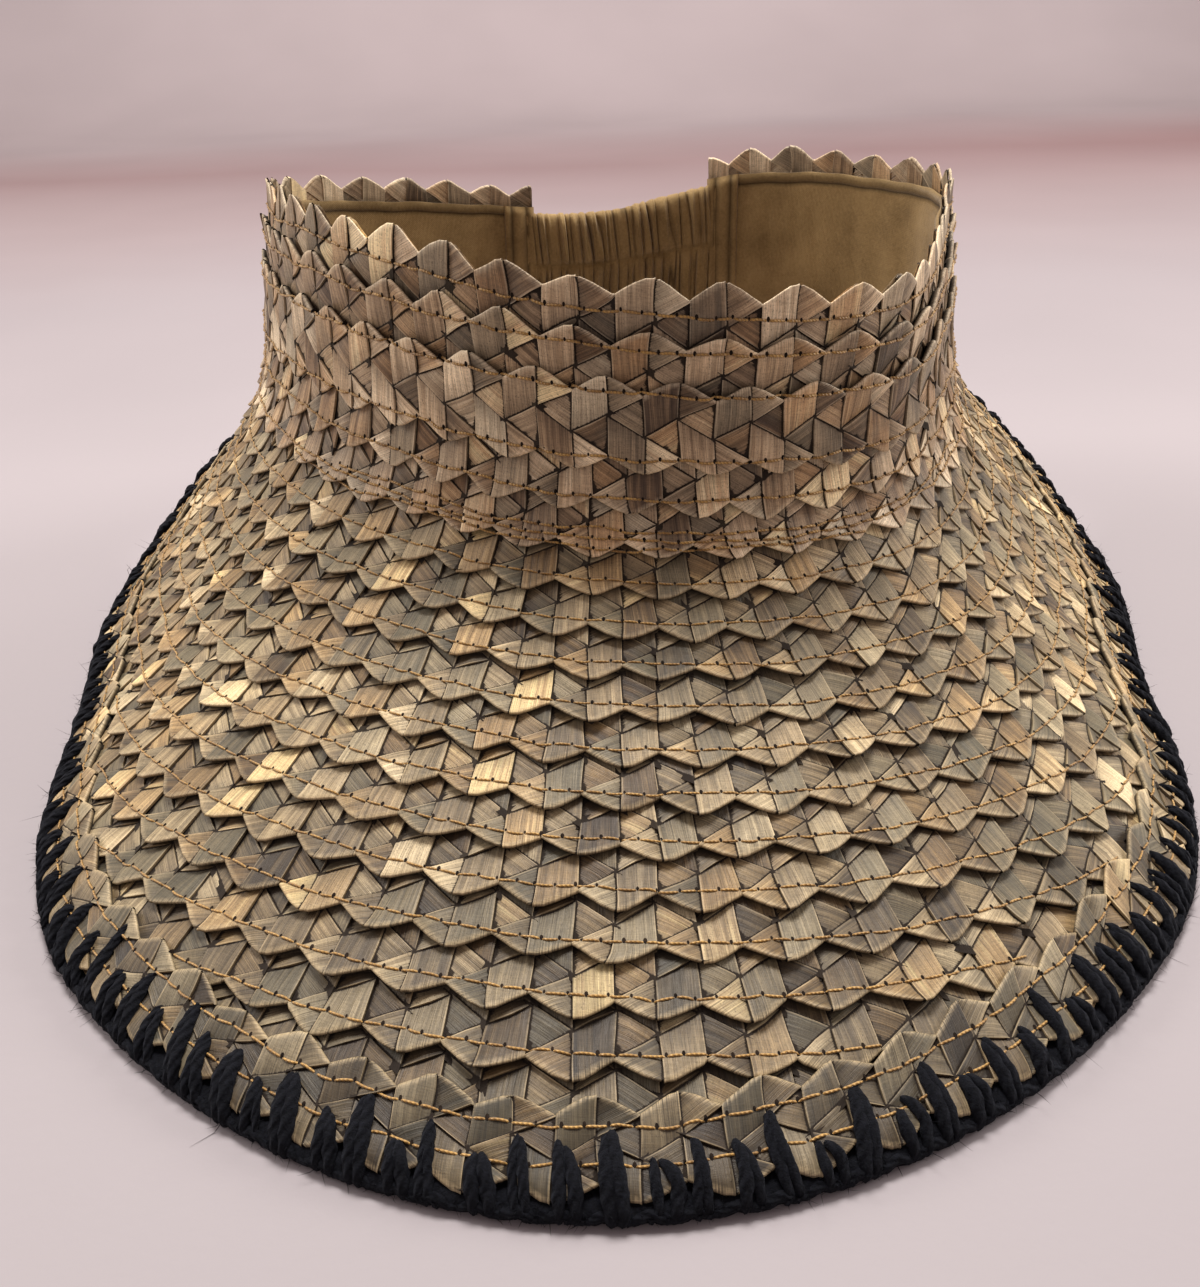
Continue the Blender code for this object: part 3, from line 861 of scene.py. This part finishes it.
HOLE = hole_shade_finish()
WOOL = wool_finish()
COTTON = cotton_finish("khaki_cotton", (0.200, 0.126, 0.048), (0.385, 0.256, 0.106))


# Straw pieces


def plait(name, courses, finish, over_edge=False):
    """One piece of braid. COURSES are (course, facets, side)."""
    pile = Pile("grain", "look", "edge")
    for row, shapes, side in courses:
        lay_course(pile, row, shapes, side, over_edge)
    return pile.build(name, finish)


RIM_INSIDE = templates({"tooth_fold": 5, "tooth_upright": 5, "inner_right": 4, "inner_left": 3,
                        "far_upright": 2, "far_fold": 2}, folds=False)
crown_plait = plait("crown_plait", [(row, SHINGLED_SET, 1) for row in CROWN_ROWS]
                    + [(CROWN_ROWS[0], RIM_INSIDE, -1)], CROWN_STRAW)
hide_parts("crown_band")
middle_plait = plait("crown_middle_plait", [(MIDDLE_ROW, FULL_SET, 1)], CROWN_STRAW)
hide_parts("crown_middle_braid")
brim_plait = plait("brim_plait", [(row, SHINGLED_SET, 1) for row in BRIM_ROWS], BRIM_STRAW)
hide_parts("brim")
brim_underside = plait("brim_underside", [(row, UNDER_SET, -1) for row in BRIM_ROWS],
                       BRIM_STRAW)
border_plait = plait("border_plait", [(BORDER_ROW, FULL_SET, 1)], BORDER_STRAW, over_edge=True)
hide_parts("border_braid")


def tree_of(*items):
    """Search tree over the faces of several pieces."""
    points = []
    faces = []
    for item in items:
        start = len(points)
        points += [vertex.co.copy() for vertex in item.data.vertices]
        faces += [[start + k for k in face.vertices] for face in item.data.polygons]
    return BVHTree.FromPolygons(points, faces)


STRAW_TREE = tree_of(crown_plait, middle_plait, brim_plait, border_plait)
UNDER_TREE = tree_of(brim_underside)
PROBE_HEIGHT = 0.009
MISSING_HEIGHT = 0.0015      # where a probe meets no straw


def top_of(angle, down, side=1):
    """Height of the straw's surface above the inner face, at many spots."""
    angle, down = np.broadcast_arrays(angle, down)
    base = on_skin(angle, down, 0.0).reshape(-1, 3)
    ways = look_up(NORMALS, angle, down).reshape(-1, 3) * side
    tree = STRAW_TREE if side > 0 else UNDER_TREE
    heights = np.full(len(base), MISSING_HEIGHT)
    for k, (spot, way) in enumerate(zip(base, ways)):
        start = Vector(spot + way * PROBE_HEIGHT)
        hit = tree.ray_cast(start, Vector(-way), 2.0 * PROBE_HEIGHT)
        if hit[0] is not None:
            heights[k] = PROBE_HEIGHT - hit[3]
    return heights.reshape(angle.shape) * side


# Sewing thread

STITCH = 0.0035
THREAD_RADIUS = 0.00022
HOLE_SIZE = 0.00046
HOLE_SIDES = 8
# Along one stitch: its places, its height over the straw and its thickness
STITCH_SHARES = np.array([0.02, 0.14, 0.38, 0.66, 0.88, 0.99])
STITCH_RISE = np.array([-0.00030, 0.00010, 0.00019, 0.00019, 0.00010, -0.00030])
STITCH_TAPER = np.array([0.5, 0.95, 1.0, 1.0, 0.95, 0.5])


def stitch_line(threads, holes, row, across, seed, first=LEFT_END, last=RIGHT_END,
                wander=0.00045, thick=1.0):
    """Running stitches at a distance in from a course's tooth tips."""
    rng = np.random.default_rng(seed)
    drift = waves(rng, 5, 0.012, 0.09)
    low, high = np.interp([first, last], row["angles"], row["way"])
    marks = np.arange(low + 0.001, high - 0.001, STITCH)
    marks = marks + rng.normal(0.0, 0.00022, len(marks))
    shares = STITCH_SHARES
    run = marks[:-1, None] + (marks[1:] - marks[:-1])[:, None] * shares
    angle = np.interp(run, row["way"], row["angles"])
    needle = across + wander * sway(drift, marks) + rng.normal(0.0, 0.00014, len(marks))
    offset = needle[:-1, None] + (needle[1:] - needle[:-1])[:, None] * shares
    offset = offset + rng.normal(0.0, 0.00012, (len(run), 1)) * np.sin(math.pi * shares)
    down = row["tips"](angle) - row["facing"] * offset
    shown = (angle[:, 0] > first + 0.5) & (angle[:, -1] < last - 0.5)
    if row in BRIM_ROWS:
        shown &= down.max(axis=1) < border_tips(angle[:, 2]) + 0.001
    angle, down = angle[shown], down[shown]
    out = top_of(angle, down)
    level_out = np.maximum(out, out.mean(axis=1, keepdims=True) - 0.0001)
    path = on_skin(angle, down, level_out + thick * STITCH_RISE)
    ups = look_up(NORMALS, angle, down)
    radii = thick * THREAD_RADIUS * np.broadcast_to(STITCH_TAPER, path.shape[:2])
    points, faces, grain = tubes(path, ups, radii, 4)
    threads.add(points, faces, grain=grain)
    add_holes(holes, angle[:, 0], down[:, 0], rng)


def add_holes(holes, angle, down, rng):
    """Dark slits of painted shade where the needle went in."""
    turn = turn_steps(HOLE_SIDES)
    size = HOLE_SIZE * rng.uniform(0.7, 1.25, (len(angle), 1))
    reach = np.linalg.norm(on_skin(angle, down, 0.0)[:, :2] - CROWN_CENTRE[:2], axis=1)[:, None]
    centre = down[:, None] - 0.00028 * np.ones((1, HOLE_SIDES))
    ring_angle = angle[:, None] + np.degrees(0.62 * size * np.cos(turn) / reach)
    ring_down = centre + size * np.sin(turn)
    ring_out = top_of(ring_angle, ring_down) + 0.00004
    middle_out = ring_out.max(axis=1, keepdims=True)
    ring = on_skin(ring_angle, ring_down, 0.5 * (ring_out + middle_out))
    middle = on_skin(angle[:, None], centre[:, :1], middle_out + 0.00003)
    faces = [((k + 1) % HOLE_SIDES, k, HOLE_SIDES) for k in range(HOLE_SIDES)]
    holes.add(np.concatenate([ring, middle], axis=1), faces)


# Course, distance in from its tooth tips, thickness of the thread
CROWN_LINES = ((CROWN_ROWS[0], 0.0066, 1.3), (CROWN_ROWS[1], 0.0042, 1.3), (MIDDLE_ROW, 0.0031, 1.3),
               (MIDDLE_ROW, 0.0158, 1.3), (CROWN_ROWS[2], 0.0040, 1.3), (CROWN_ROWS[3], 0.0044, 1.3))
BRIM_LINES = [(row, 0.0044, 1.0) for row in BRIM_ROWS]
BORDER_LINES = ((BORDER_ROW, 0.0048, 1.0), (BORDER_ROW, 0.0104, 1.0))


def sew(threads, holes, lines, seed):
    for k, (row, across, thick) in enumerate(lines):
        stitch_line(threads, holes, row, across, seed + k, thick=thick)


crown_threads = Pile("grain")
crown_holes = Pile()
sew(crown_threads, crown_holes, CROWN_LINES, 201)
for line in ((0.0026, 207, -52.0, 30.0, 0.0010), (0.0062, 208, -40.0, 62.0, 0.0012)):
    stitch_line(crown_threads, crown_holes, CROWN_ROWS[3], *line, thick=1.25)
crown_threads.build("crown_stitching", THREAD)
crown_holes.build("crown_needle_holes", HOLE, flat=True)

brim_threads = Pile("grain")
brim_holes = Pile()
sew(brim_threads, brim_holes, BRIM_LINES, 220)
sew(brim_threads, brim_holes, BORDER_LINES, 240)
brim_threads.build("brim_stitching", THREAD)
brim_holes.build("brim_needle_holes", HOLE, flat=True)


# Wool edge

ROLL_IN = 0.0004             # roll's middle inward of the straw's edge
ROLL_LEVEL = 0.0016          # its middle above its foot
ROLL_WIDE = 0.0031
ROLL_TALL = 0.0016
TABLE_CLEARANCE = 0.0001
ROLL_SIDES = 14
PURL_RADIUS = 0.00088
edge_angles = np.linspace(LEFT_END, RIGHT_END, 3001)


def roll_point(angle, turn, spare):
    """A point round the flattened wool edge, TURN from level, outward and up, and
    SPARE metres off it."""
    centre = roll_centre(angle)
    reach = centre[..., 0] - ROLL_IN + (ROLL_WIDE + spare) * np.cos(turn)
    height = centre[..., 1] - YARN_RADIUS + ROLL_LEVEL + (ROLL_TALL + spare) * np.sin(turn)
    way = np.radians(angle)
    return stacked(reach * np.sin(way), -reach * np.cos(way), height) + CROWN_CENTRE


def settle(points):
    """Keeps wool on the table, pressed flat where it lies."""
    points[..., 2] = np.maximum(points[..., 2], TABLE_CLEARANCE)
    return points


edge_way = way_along(roll_point(edge_angles, 0.0, 0.0))


def outer_tips():
    """Distances along the edge of the border's outer tooth tips."""
    repeat = np.arange(BORDER_ROW["repeats"])
    angle = course_place(BORDER_ROW, 1.0 + 2.0 * repeat, np.full(len(repeat), BRAID_HEIGHT))[0]
    return np.sort(np.interp(angle, edge_angles, edge_way))


def edge_angle(run):
    return np.interp(run, edge_way, edge_angles)


def wool_strand(pile, paths, ups, radii, sides, lobes, turns):
    points, faces, grain = tubes(paths, ups, radii, sides, lobes, turns)
    pile.add(settle(points), faces, grain=grain)


def roll_piece():
    """The wool wound round the brim's edge, and the purl of the stitches outside it."""
    pile = Pile("grain")
    rng = np.random.default_rng(300)
    fat = waves(rng, 6, 0.004, 0.03)
    run = np.linspace(0.0, edge_way[-1], 1000)
    angle = edge_angle(run)
    turns = turn_steps(ROLL_SIDES)
    spare = 0.00022 * sway(fat, run)[:, None] + 0.00012 * np.cos(
        2.0 * math.pi * run[:, None] / 0.0021 + 2.0 * turns[None])
    spare[[0, -1]] = -ROLL_TALL
    points = roll_point(angle[:, None], turns[None], spare)
    pile.add_grid(settle(points), closed=True, grain=stacked(run[:, None], turns[None] - math.pi, 0.0))
    for phase, turn in ((0.0, 0.05), (0.5, -0.50)):
        loop = np.sin(2.0 * math.pi * (run / 0.0062 + phase))
        path = roll_point(angle, turn + 0.35 * loop, -0.0004)[None]
        ups = np.broadcast_to([0.0, 0.0, 1.0], path.shape)
        radii = (PURL_RADIUS * (1.0 + 0.2 * sway(fat, run, 1.0)))[None]
        radii[:, 0] = radii[:, -1] = 0.0002
        wool_strand(pile, path, ups, radii, 7, 0.10, 260.0)
    return pile.build("edge_roll", WOOL)


WRAP_TOP = np.radians([-70.0, -35.0, 0.0, 35.0])
WRAP_UNDER = np.radians([20.0, -20.0, -55.0, -90.0])
WOOL_RISE = np.array([0.55, 0.55, 0.5, 0.45, 0.3, 0.0, -0.7])
TAPER = np.array([0.45, 0.60, 0.72, 0.95, 1.12, 1.15, 1.12, 1.05, 0.94, 0.74, 0.35])


def stitch_strands(pile, foot, head, length, radius, side, rng):
    """Wool strands from the roll over the border. FOOT and HEAD are distances
    along the edge at the outer and inner end."""
    count = len(foot)
    wraps = WRAP_TOP if side > 0 else WRAP_UNDER
    wrap_run = np.repeat(foot[:, None], len(wraps), axis=1)
    wrap = roll_point(edge_angle(wrap_run), wraps[None], 0.25 * radius[:, None])
    shares = np.array([0.12, 0.28, 0.46, 0.64, 0.80, 0.93, 1.0])
    run = foot[:, None] + (head - foot)[:, None] * shares
    bow = rng.normal(0.0, 0.0005, (count, 1)) * np.sin(math.pi * shares)
    angle = edge_angle(run + bow)
    down = brim_length(angle) + 0.0018 - length[:, None] * shares
    out = top_of(angle, down, side) + side * WOOL_RISE * radius[:, None]
    lay = on_skin(angle, down, out)
    path = np.concatenate([wrap, lay], axis=1)
    ups = np.concatenate([unit(wrap - roll_point(edge_angle(wrap_run), 0.0, -ROLL_TALL)),
                          look_up(NORMALS, angle, down) * side], axis=1)
    fine = np.linspace(0, path.shape[1] - 1, 18)
    low = np.clip(fine.astype(int), 0, path.shape[1] - 2)
    part = (fine - low)[None, :, None]
    smooth_path = path[:, low] * (1 - part) + path[:, low + 1] * part
    for _ in range(3):
        smooth_path[:, 1:-1] = (0.25 * smooth_path[:, :-2] + 0.5 * smooth_path[:, 1:-1]
                                + 0.25 * smooth_path[:, 2:])
    smooth_ups = unit(ups[:, low] * (1 - part) + ups[:, low + 1] * part)
    radii = radius[:, None] * np.interp(fine, np.arange(len(TAPER)), TAPER)
    wool_strand(pile, smooth_path, smooth_ups, radii, 7, 0.10, 170.0)


def blanket_stitches():
    """A long and a short stitch for each outer tooth of the border."""
    pile = Pile("grain")
    rng = np.random.default_rng(301)
    tips = outer_tips()
    pitch = float(np.diff(tips).mean())
    tips = tips[(tips > 0.6 * pitch) & (tips < edge_way[-1] - 0.6 * pitch)]
    count = len(tips)
    for side, reach in ((1, 1.0), (-1, 0.8)):
        jitter = rng.normal(0.0, 0.0005, count)
        head = tips - 0.38 * pitch + jitter
        foot = tips - 0.30 * pitch + jitter + rng.normal(0.0, 0.0006, count)
        long = rng.normal(0.0106, 0.0011, count) * reach
        thick = rng.normal(0.00100, 0.00012, count)
        for offset in (-0.00062, 0.00062):
            stitch_strands(pile, foot + 1.25 * offset, head + 0.35 * offset,
                           long + rng.normal(0.0, 0.0004, count), thick, side, rng)
        jitter = rng.normal(0.0, 0.0005, count)
        short = rng.normal(0.0070, 0.0009, count) * reach
        for offset in (0.14, 0.32):
            stitch_strands(pile, tips + offset * pitch + jitter,
                           tips + (0.35 * offset + 0.05) * pitch + jitter,
                           short + rng.normal(0.0, 0.0004, count),
                           rng.normal(0.00092, 0.00010, count), side, rng)
    return pile.build("blanket_stitches", WOOL)


def wool_fuzz(sources, count):
    """Fine stray fibres on the wool."""
    pile = Pile("grain")
    rng = np.random.default_rng(302)
    for item, share in sources:
        mesh = item.data
        total = len(mesh.vertices)
        points = np.empty(total * 3, np.float32)
        mesh.vertices.foreach_get("co", points)
        normals = np.empty(total * 3, np.float32)
        mesh.vertex_normals.foreach_get("vector", normals)
        chosen = rng.choice(total, int(count * share))
        start = points.reshape(-1, 3)[chosen].astype(float)
        way = normals.reshape(-1, 3)[chosen].astype(float)
        way = unit(way * rng.uniform(0.4, 1.0, (len(way), 1)) + rng.normal(0.0, 0.55, way.shape))
        bend = rng.normal(0.0, 0.7, way.shape)
        long = np.minimum(rng.gamma(2.0, 0.00065, len(way)), 0.0036)[:, None]
        t = np.array([0.0, 0.5, 1.0])
        path = (start[:, None] + way[:, None] * (long * t)[..., None]
                + bend[:, None] * (long * t ** 2 * 0.5)[..., None])
        ups = np.broadcast_to(unit(np.cross(way, bend))[:, None], path.shape)
        radii = rng.uniform(0.000040, 0.000074, (len(way), 1)) * np.array([1.0, 0.8, 0.15])
        wool_strand(pile, path, ups, radii, 3, 0.0, 0.0)
    return pile.build("wool_fuzz", WOOL)


edge_roll = roll_piece()
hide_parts("edge_yarn")
wool_stitches = blanket_stitches()
wool_fuzz(((edge_roll, 0.42), (wool_stitches, 0.58)), 12000)


# Cotton lining and elastic casing

HEM = (
    # down from the top edge, out, and darkness: painted shade along the turned hem, deepest in the seam's
    # groove where the stitching darkens it too
    (0.0060, -0.00022, 0.3), (0.0020, -0.00022, 0.3), (0.0003, -0.00030, 0.2), (0.0, -0.00062, 0.25),
    (0.0003, -0.00105, 0.35), (0.0011, -0.00145, 0.40), (0.0019, -0.00148, 0.45), (0.0025, -0.00120, 0.60),
    (0.0029, -0.00085, 0.95), (0.0034, -0.00092, 0.45), (0.0041, -0.00115, 0.05), (0.0055, -0.00120, 0.0),
)


def cloth_piece(name, angles, downs, outs, dark, closed=False, way=1):
    """A piece of cloth from grids of places. Rows follow the angle, from the last
    where WAY is -1. CLOSED joins each row's end to its start."""
    angles, downs, outs, dark = (grid[::way] for grid in np.broadcast_arrays(angles, downs, outs, dark))
    points = on_skin(angles, downs, outs)
    along = way_along(points[:, points.shape[1] // 2])[:, None]
    pile = Pile("weave")
    pile.add_grid(points, closed, weave=stacked(along, way_along(points), dark))
    return pile.build(name, COTTON)


def lining_piece():
    """Facing inside the crown, its top edge turned under and stitched."""
    rng = np.random.default_rng(400)
    angles = np.linspace(LEFT_END + 0.15, RIGHT_END - 0.15, 700)
    field = np.linspace(0.0085, -LINING_TOP + CROWN_WALL + LINING_FOOT, 22)
    downs = np.array([row[0] for row in HEM] + list(field))
    outs = np.array([row[1] for row in HEM] + [-0.00120] * len(field))
    dark = np.array([row[2] for row in HEM] + [0.0] * len(field))
    run = way_along(on_skin(angles, -0.03, 0.0))
    low_wave, high_wave, edge_wave = (waves(rng, 6, *span) for span in
                                      ((0.03, 0.12), (0.010, 0.035), (0.008, 0.06)))
    depth = smooth(0.004, 0.012, downs) * (1.0 - smooth(0.034, 0.040, downs))
    relief = (0.0009 * sway(low_wave, run)[:, None]
              + 0.00045 * sway(high_wave, run[:, None], 60.0 * downs[None])) * depth
    top = -CROWN_WALL + LINING_TOP + 0.0004 * sway(edge_wave, run)
    grid_downs = top[:, None] + downs[None]
    grid_outs = outs[None] - np.abs(relief) * 0.9 - 0.0002
    return cloth_piece("lining", angles[:, None], grid_downs, grid_outs, dark[None]), run[-1]


def tab_piece(name, end, way):
    """Folded upright tab over the casing's end, with a seam near each side."""
    reach = HEAD_RADIUS * float(outline(end, "rim_reach"))
    spots = np.array([-0.0004, 0.0, 0.0005, 0.0012, 0.0018, 0.0023, 0.0029, 0.0040, 0.0055,
                      0.0065, 0.0071, 0.0077, 0.0086, 0.0093, 0.0095, 0.0090])
    outs = np.array([-0.0006, -0.0018, -0.0026, -0.0031, -0.0028, -0.0025, -0.0029, -0.0034, -0.0034,
                     -0.0030, -0.0025, -0.0028, -0.0030, -0.0026, -0.0019, -0.0012])
    # Darkness at the two seams: partly their stitching, partly painted shade in their grooves.
    seam = np.array([0.0, 0.0, 0.0, 0.0, 0.4, 0.8, 0.3, 0.0, 0.0, 0.3, 0.8, 0.4, 0.0, 0.0, 0.0, 0.0])
    angles = end - way * np.degrees(spots / reach)
    downs = np.linspace(-CROWN_WALL + LINING_TOP - 0.0002, LINING_FOOT + 0.0004, 40)
    rng = np.random.default_rng(int(abs(end)))
    ripple = waves(rng, 5, 0.006, 0.03)
    puff = 0.00030 * sway(ripple, downs)[None] * np.sin(np.linspace(0.0, math.pi, len(spots)))[:, None]
    pinch = 1.0 - 0.55 * (np.exp(-((downs - downs[0]) / 0.0012) ** 2)
                          + np.exp(-((downs - downs[-1]) / 0.0012) ** 2))
    grid_outs = outs[:, None] * pinch[None] - puff
    return cloth_piece(name, angles[:, None], downs[None], grid_outs, seam[:, None], way=way)


PLEATS = 25
SHIRR = 0.47


def pleat_ridges(rng, u, slant, v):
    """Height of the pleats from 0 to 1 at shares U along and V down the casing."""
    warp = waves(rng, 6, 0.05, 0.35)
    place = PLEATS * u + 0.75 * sway(warp, u) + slant * v
    fine = waves(rng, 4, 0.6, 1.7)
    place = place + 0.16 * sway(fine, place, 1.5 * v)
    sizes = rng.uniform(0.45, 1.25, PLEATS + 8)
    index = np.clip(np.floor(place).astype(int) + 3, 0, len(sizes) - 1)
    ridge = np.abs(np.sin(math.pi * place)) ** 0.62 * sizes[index]
    minor = np.abs(np.sin(math.pi * (2.3 * place + 0.3))) ** 0.8
    return 0.85 * ridge + 0.22 * minor


def casing_piece():
    """Double layer of cotton gathered on elastic."""
    rng = np.random.default_rng(401)
    reach = HEAD_RADIUS * float(outline(180.0, "rim_reach"))
    lap = math.degrees(0.007 / reach)
    angles = np.linspace(RIGHT_END - lap, LEFT_END + 360.0 + lap, 400)
    u = ((angles - angles[0]) / (angles[-1] - angles[0]))[:, None]
    v = np.concatenate([[0.0, 0.012, 0.03], np.linspace(0.06, 0.94, 32), [0.97, 0.988, 1.0]])[None]
    free = smooth(0.06, 0.12, u) * (1.0 - smooth(0.88, 0.94, u))
    blend = smooth(SHIRR - 0.06, SHIRR + 0.06, v)
    ridge = (1.0 - blend) * pleat_ridges(rng, u, 1.3, v) + blend * pleat_ridges(rng, u, -0.8, v)
    tight = 1.0 - 0.80 * np.exp(-((v - SHIRR) / 0.035) ** 2)
    tight = tight * (0.45 + 0.55 * smooth(0.0, 0.10, v)) * (0.35 + 0.65 * smooth(0.0, 0.10, 1.0 - v))
    height = 0.0028 * ridge * tight * free
    body = 0.0006 + 0.0004 * free * np.sin(math.pi * v) ** 0.5
    edge = np.sqrt(np.clip(np.minimum(v, 1.0 - v) / 0.03, 0.0, 1.0))
    centre = -0.00185 + 0.0003 * free
    ruffle = 0.0007 * (ridge - 0.6) * free * np.abs(2.0 * v - 1.0) ** 3 * np.sign(0.5 - v)
    down = -CROWN_WALL + CASING_TOP + CASING_HEIGHT * v - ruffle
    inner = centre - edge * (body + height)
    outer = centre + edge * (body + 0.9 * np.roll(height, 5, axis=0))
    angle = np.broadcast_to(angles[:, None], down.shape)
    # Painted shade in the pleat valleys, and a dark line along the gather.
    valley_shade = np.clip(1.0 - ridge / 0.42, 0.0, 1.0) * free
    dark = np.maximum(valley_shade, 0.8 * np.exp(-((v - SHIRR) / 0.010) ** 2) * free)
    sides = [np.concatenate([near, far[:, ::-1]], axis=1) for near, far in
             ((angle, angle), (down, down), (inner, outer), (dark, dark))]
    return cloth_piece("elastic_casing_cloth", *sides, closed=True)


lining, lining_length = lining_piece()
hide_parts("crown_lining")
casing = casing_piece()
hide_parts("elastic_casing")
right_tab = tab_piece("lining_tab_right", RIGHT_END, 1)
left_tab = tab_piece("lining_tab_left", LEFT_END, -1)


# Folded leaf over the band's cut ends


def end_fold(pile, end, way):
    """Strip of leaf folded over one cut end, no wider than the straw there."""
    downs = np.linspace(-CROWN_WALL + 0.0070, float(brim_length(end)) - 0.003, 90)
    reach = np.linalg.norm(on_skin(end, downs, 0.0)[:, :2] - CROWN_CENTRE[:2], axis=1)
    turn = np.linspace(-math.pi / 2, math.pi / 2, 7)
    spots = np.concatenate([[-0.0042, -0.0020], 0.0004 * np.cos(turn) - 0.0002, [-0.0020, -0.0042]])
    faces_out = np.concatenate([[-0.9, -1.0], np.sin(turn), [1.0, 0.9]])
    rng = np.random.default_rng(int(abs(end)) + 7)
    thick = 0.0013 + 0.0003 * sway(waves(rng, 5, 0.006, 0.02), downs) * smooth(0.0, 0.01, downs + CROWN_WALL)
    ripple = 0.0004 * sway(waves(rng, 5, 0.006, 0.04), downs)
    angles = end + way * np.degrees((spots[None] + ripple[:, None]) / reach[:, None])
    points = on_skin(angles, downs[:, None], 0.0010 + thick[:, None] * faces_out[None])
    grain = stacked(downs[:, None], np.arange(points.shape[1])[None] * 0.0010, 3.0)
    pile.add_grid(points, way=way, grain=grain, look=(0.25, 0.0, 0.0), edge=FAR_OFF)


fold_pile = Pile("grain", "look", "edge")
for end, way in ((RIGHT_END, 1), (LEFT_END, -1)):
    end_fold(fold_pile, end, way)
fold_pile.build("end_folds", CROWN_STRAW)


# Table, light and camera


# Distances back across the table, with its colour there, which paints in light and shade: pale near the
# front, darkest about 1.15 m back and lighter up the curve and wall behind
TABLE_TONES = ((-0.30, (0.300, 0.272, 0.277)), (0.15, (0.325, 0.290, 0.298)), (0.45, (0.275, 0.240, 0.248)),
               (0.85, (0.240, 0.186, 0.188)), (1.15, (0.205, 0.140, 0.140)), (1.60, (0.280, 0.230, 0.234)),
               (2.25, (0.430, 0.368, 0.374)))
TABLE_NEAR = -0.50
TABLE_REACH = 3.0


def floor_finish():
    finish = Finish("table_cover")
    side, back, _ = finish.place.parts()
    back = back + (finish.place.noise(1.6, 1.0) - 0.5) * 0.35
    colour = back.remap(TABLE_NEAR, TABLE_REACH, 0.0, 1.0).ramp(
        [((reach - TABLE_NEAR) / (TABLE_REACH - TABLE_NEAR), tone) for reach, tone in TABLE_TONES])
    # Painted shade: a darker band across the table about 1.15 m back, on the right side.
    band = (back - 1.15).maths("ABSOLUTE").remap(0.10, 0.50, 0.6, 0.0)
    colour = colour.mixed(band * side.remap(0.1, 1.0, 0.0, 1.0), (0.190, 0.100, 0.098))
    cloud = finish.place.noise(5.0).remap(0.3, 0.7, 0.97, 1.03)
    colour = colour.mixed(1.0, cloud.grey(), "MULTIPLY")
    return finish.surface(Base_Color=colour, Roughness=0.8, Specular_IOR_Level=0.2,
                          Normal=finish.place.noise(420.0, 3.0).bump(0.12, 0.0004))


# The cover's course from front to back: flat, then up in a wide curve
COVER_HALF_WIDTH = 5.0
COVER_FRONT = -5.0
CURVE_START = 1.70
CURVE_RADIUS = 0.55
COVER_TOP = 3.0


def table_cover():
    turn = np.linspace(0.0, 0.5 * math.pi, 25)
    curve = np.stack([CURVE_START + CURVE_RADIUS * np.sin(turn),
                      CURVE_RADIUS * (1.0 - np.cos(turn))], axis=1)
    flat = np.stack([np.linspace(COVER_FRONT, CURVE_START, 30)[:-1], np.zeros(29)], axis=1)
    course_line = np.concatenate([flat, curve, [[CURVE_START + CURVE_RADIUS, COVER_TOP]]])
    sides = np.linspace(-COVER_HALF_WIDTH, COVER_HALF_WIDTH, 21)
    x, y = np.broadcast_arrays(sides[None], course_line[:, :1])
    z = np.broadcast_to(course_line[:, 1:], x.shape)
    points = np.stack([x, y, z], axis=-1).reshape(-1, 3)
    faces = grid_faces(len(course_line), len(sides), turned=True)
    mesh = bpy.data.meshes.new("table_cover")
    mesh.from_pydata(points.tolist(), [], faces)
    mesh.polygons.foreach_set("use_smooth", np.full(len(faces), True))
    mesh.materials.append(floor_finish())
    return link("table_cover", mesh)


floor = table_cover()


def area_light(name, place, aim, size, power, colour):
    light = bpy.data.lights.new(name, "AREA")
    light.shape = "RECTANGLE"
    light.size, light.size_y = size
    light.energy = power
    light.color = colour
    item = link(name, light)
    item.location = place
    item.rotation_euler = (Vector(aim) - Vector(place)).to_track_quat("-Z", "Y").to_euler()


area_light("overhead", (0.0, 0.80, 2.25), (0.0, 0.0, 0.0), (1.2, 0.8), 86.0, (1.0, 0.975, 0.95))
area_light("left_window", (-1.6, 0.40, 0.90), (0.0, 0.0, 0.05), (0.9, 0.7), 17.0, (1.0, 0.97, 0.93))
area_light("right_window", (1.6, 0.40, 0.90), (0.0, 0.0, 0.05), (0.9, 0.7), 21.0, (1.0, 0.97, 0.93))

world = bpy.data.worlds.new("studio")
world.use_nodes = True
background = world.node_tree.nodes["Background"]
background.inputs["Color"].default_value = (0.92, 0.77, 0.775, 1.0)
background.inputs["Strength"].default_value = 0.47
bpy.context.scene.world = world
bpy.context.scene.view_settings.view_transform = "Standard"

PHOTO_WIDTH = 1200
PHOTO_HEIGHT = 1287
FOCAL_PIXELS = 1190.0
SENSOR = 36.0
CAMERA_PITCH = 28.0
CAMERA_ROLL = 2.0
CAMERA_PLACE = Vector((-0.003, -0.323, 0.150))

camera_data = bpy.data.cameras.new("photo_camera")
camera_data.sensor_width = SENSOR
camera_data.lens = SENSOR * FOCAL_PIXELS / max(PHOTO_WIDTH, PHOTO_HEIGHT)
camera_data.clip_start = 0.01
camera_data.clip_end = 50.0
camera = link("photo_camera", camera_data)
tilt = Matrix.Rotation(math.radians(90.0 - CAMERA_PITCH), 4, "X")
roll = Matrix.Rotation(math.radians(-CAMERA_ROLL), 4, "Z")
camera.matrix_world = Matrix.Translation(Vector(CROWN_CENTRE) + CAMERA_PLACE) @ tilt @ roll
bpy.context.scene.camera = camera
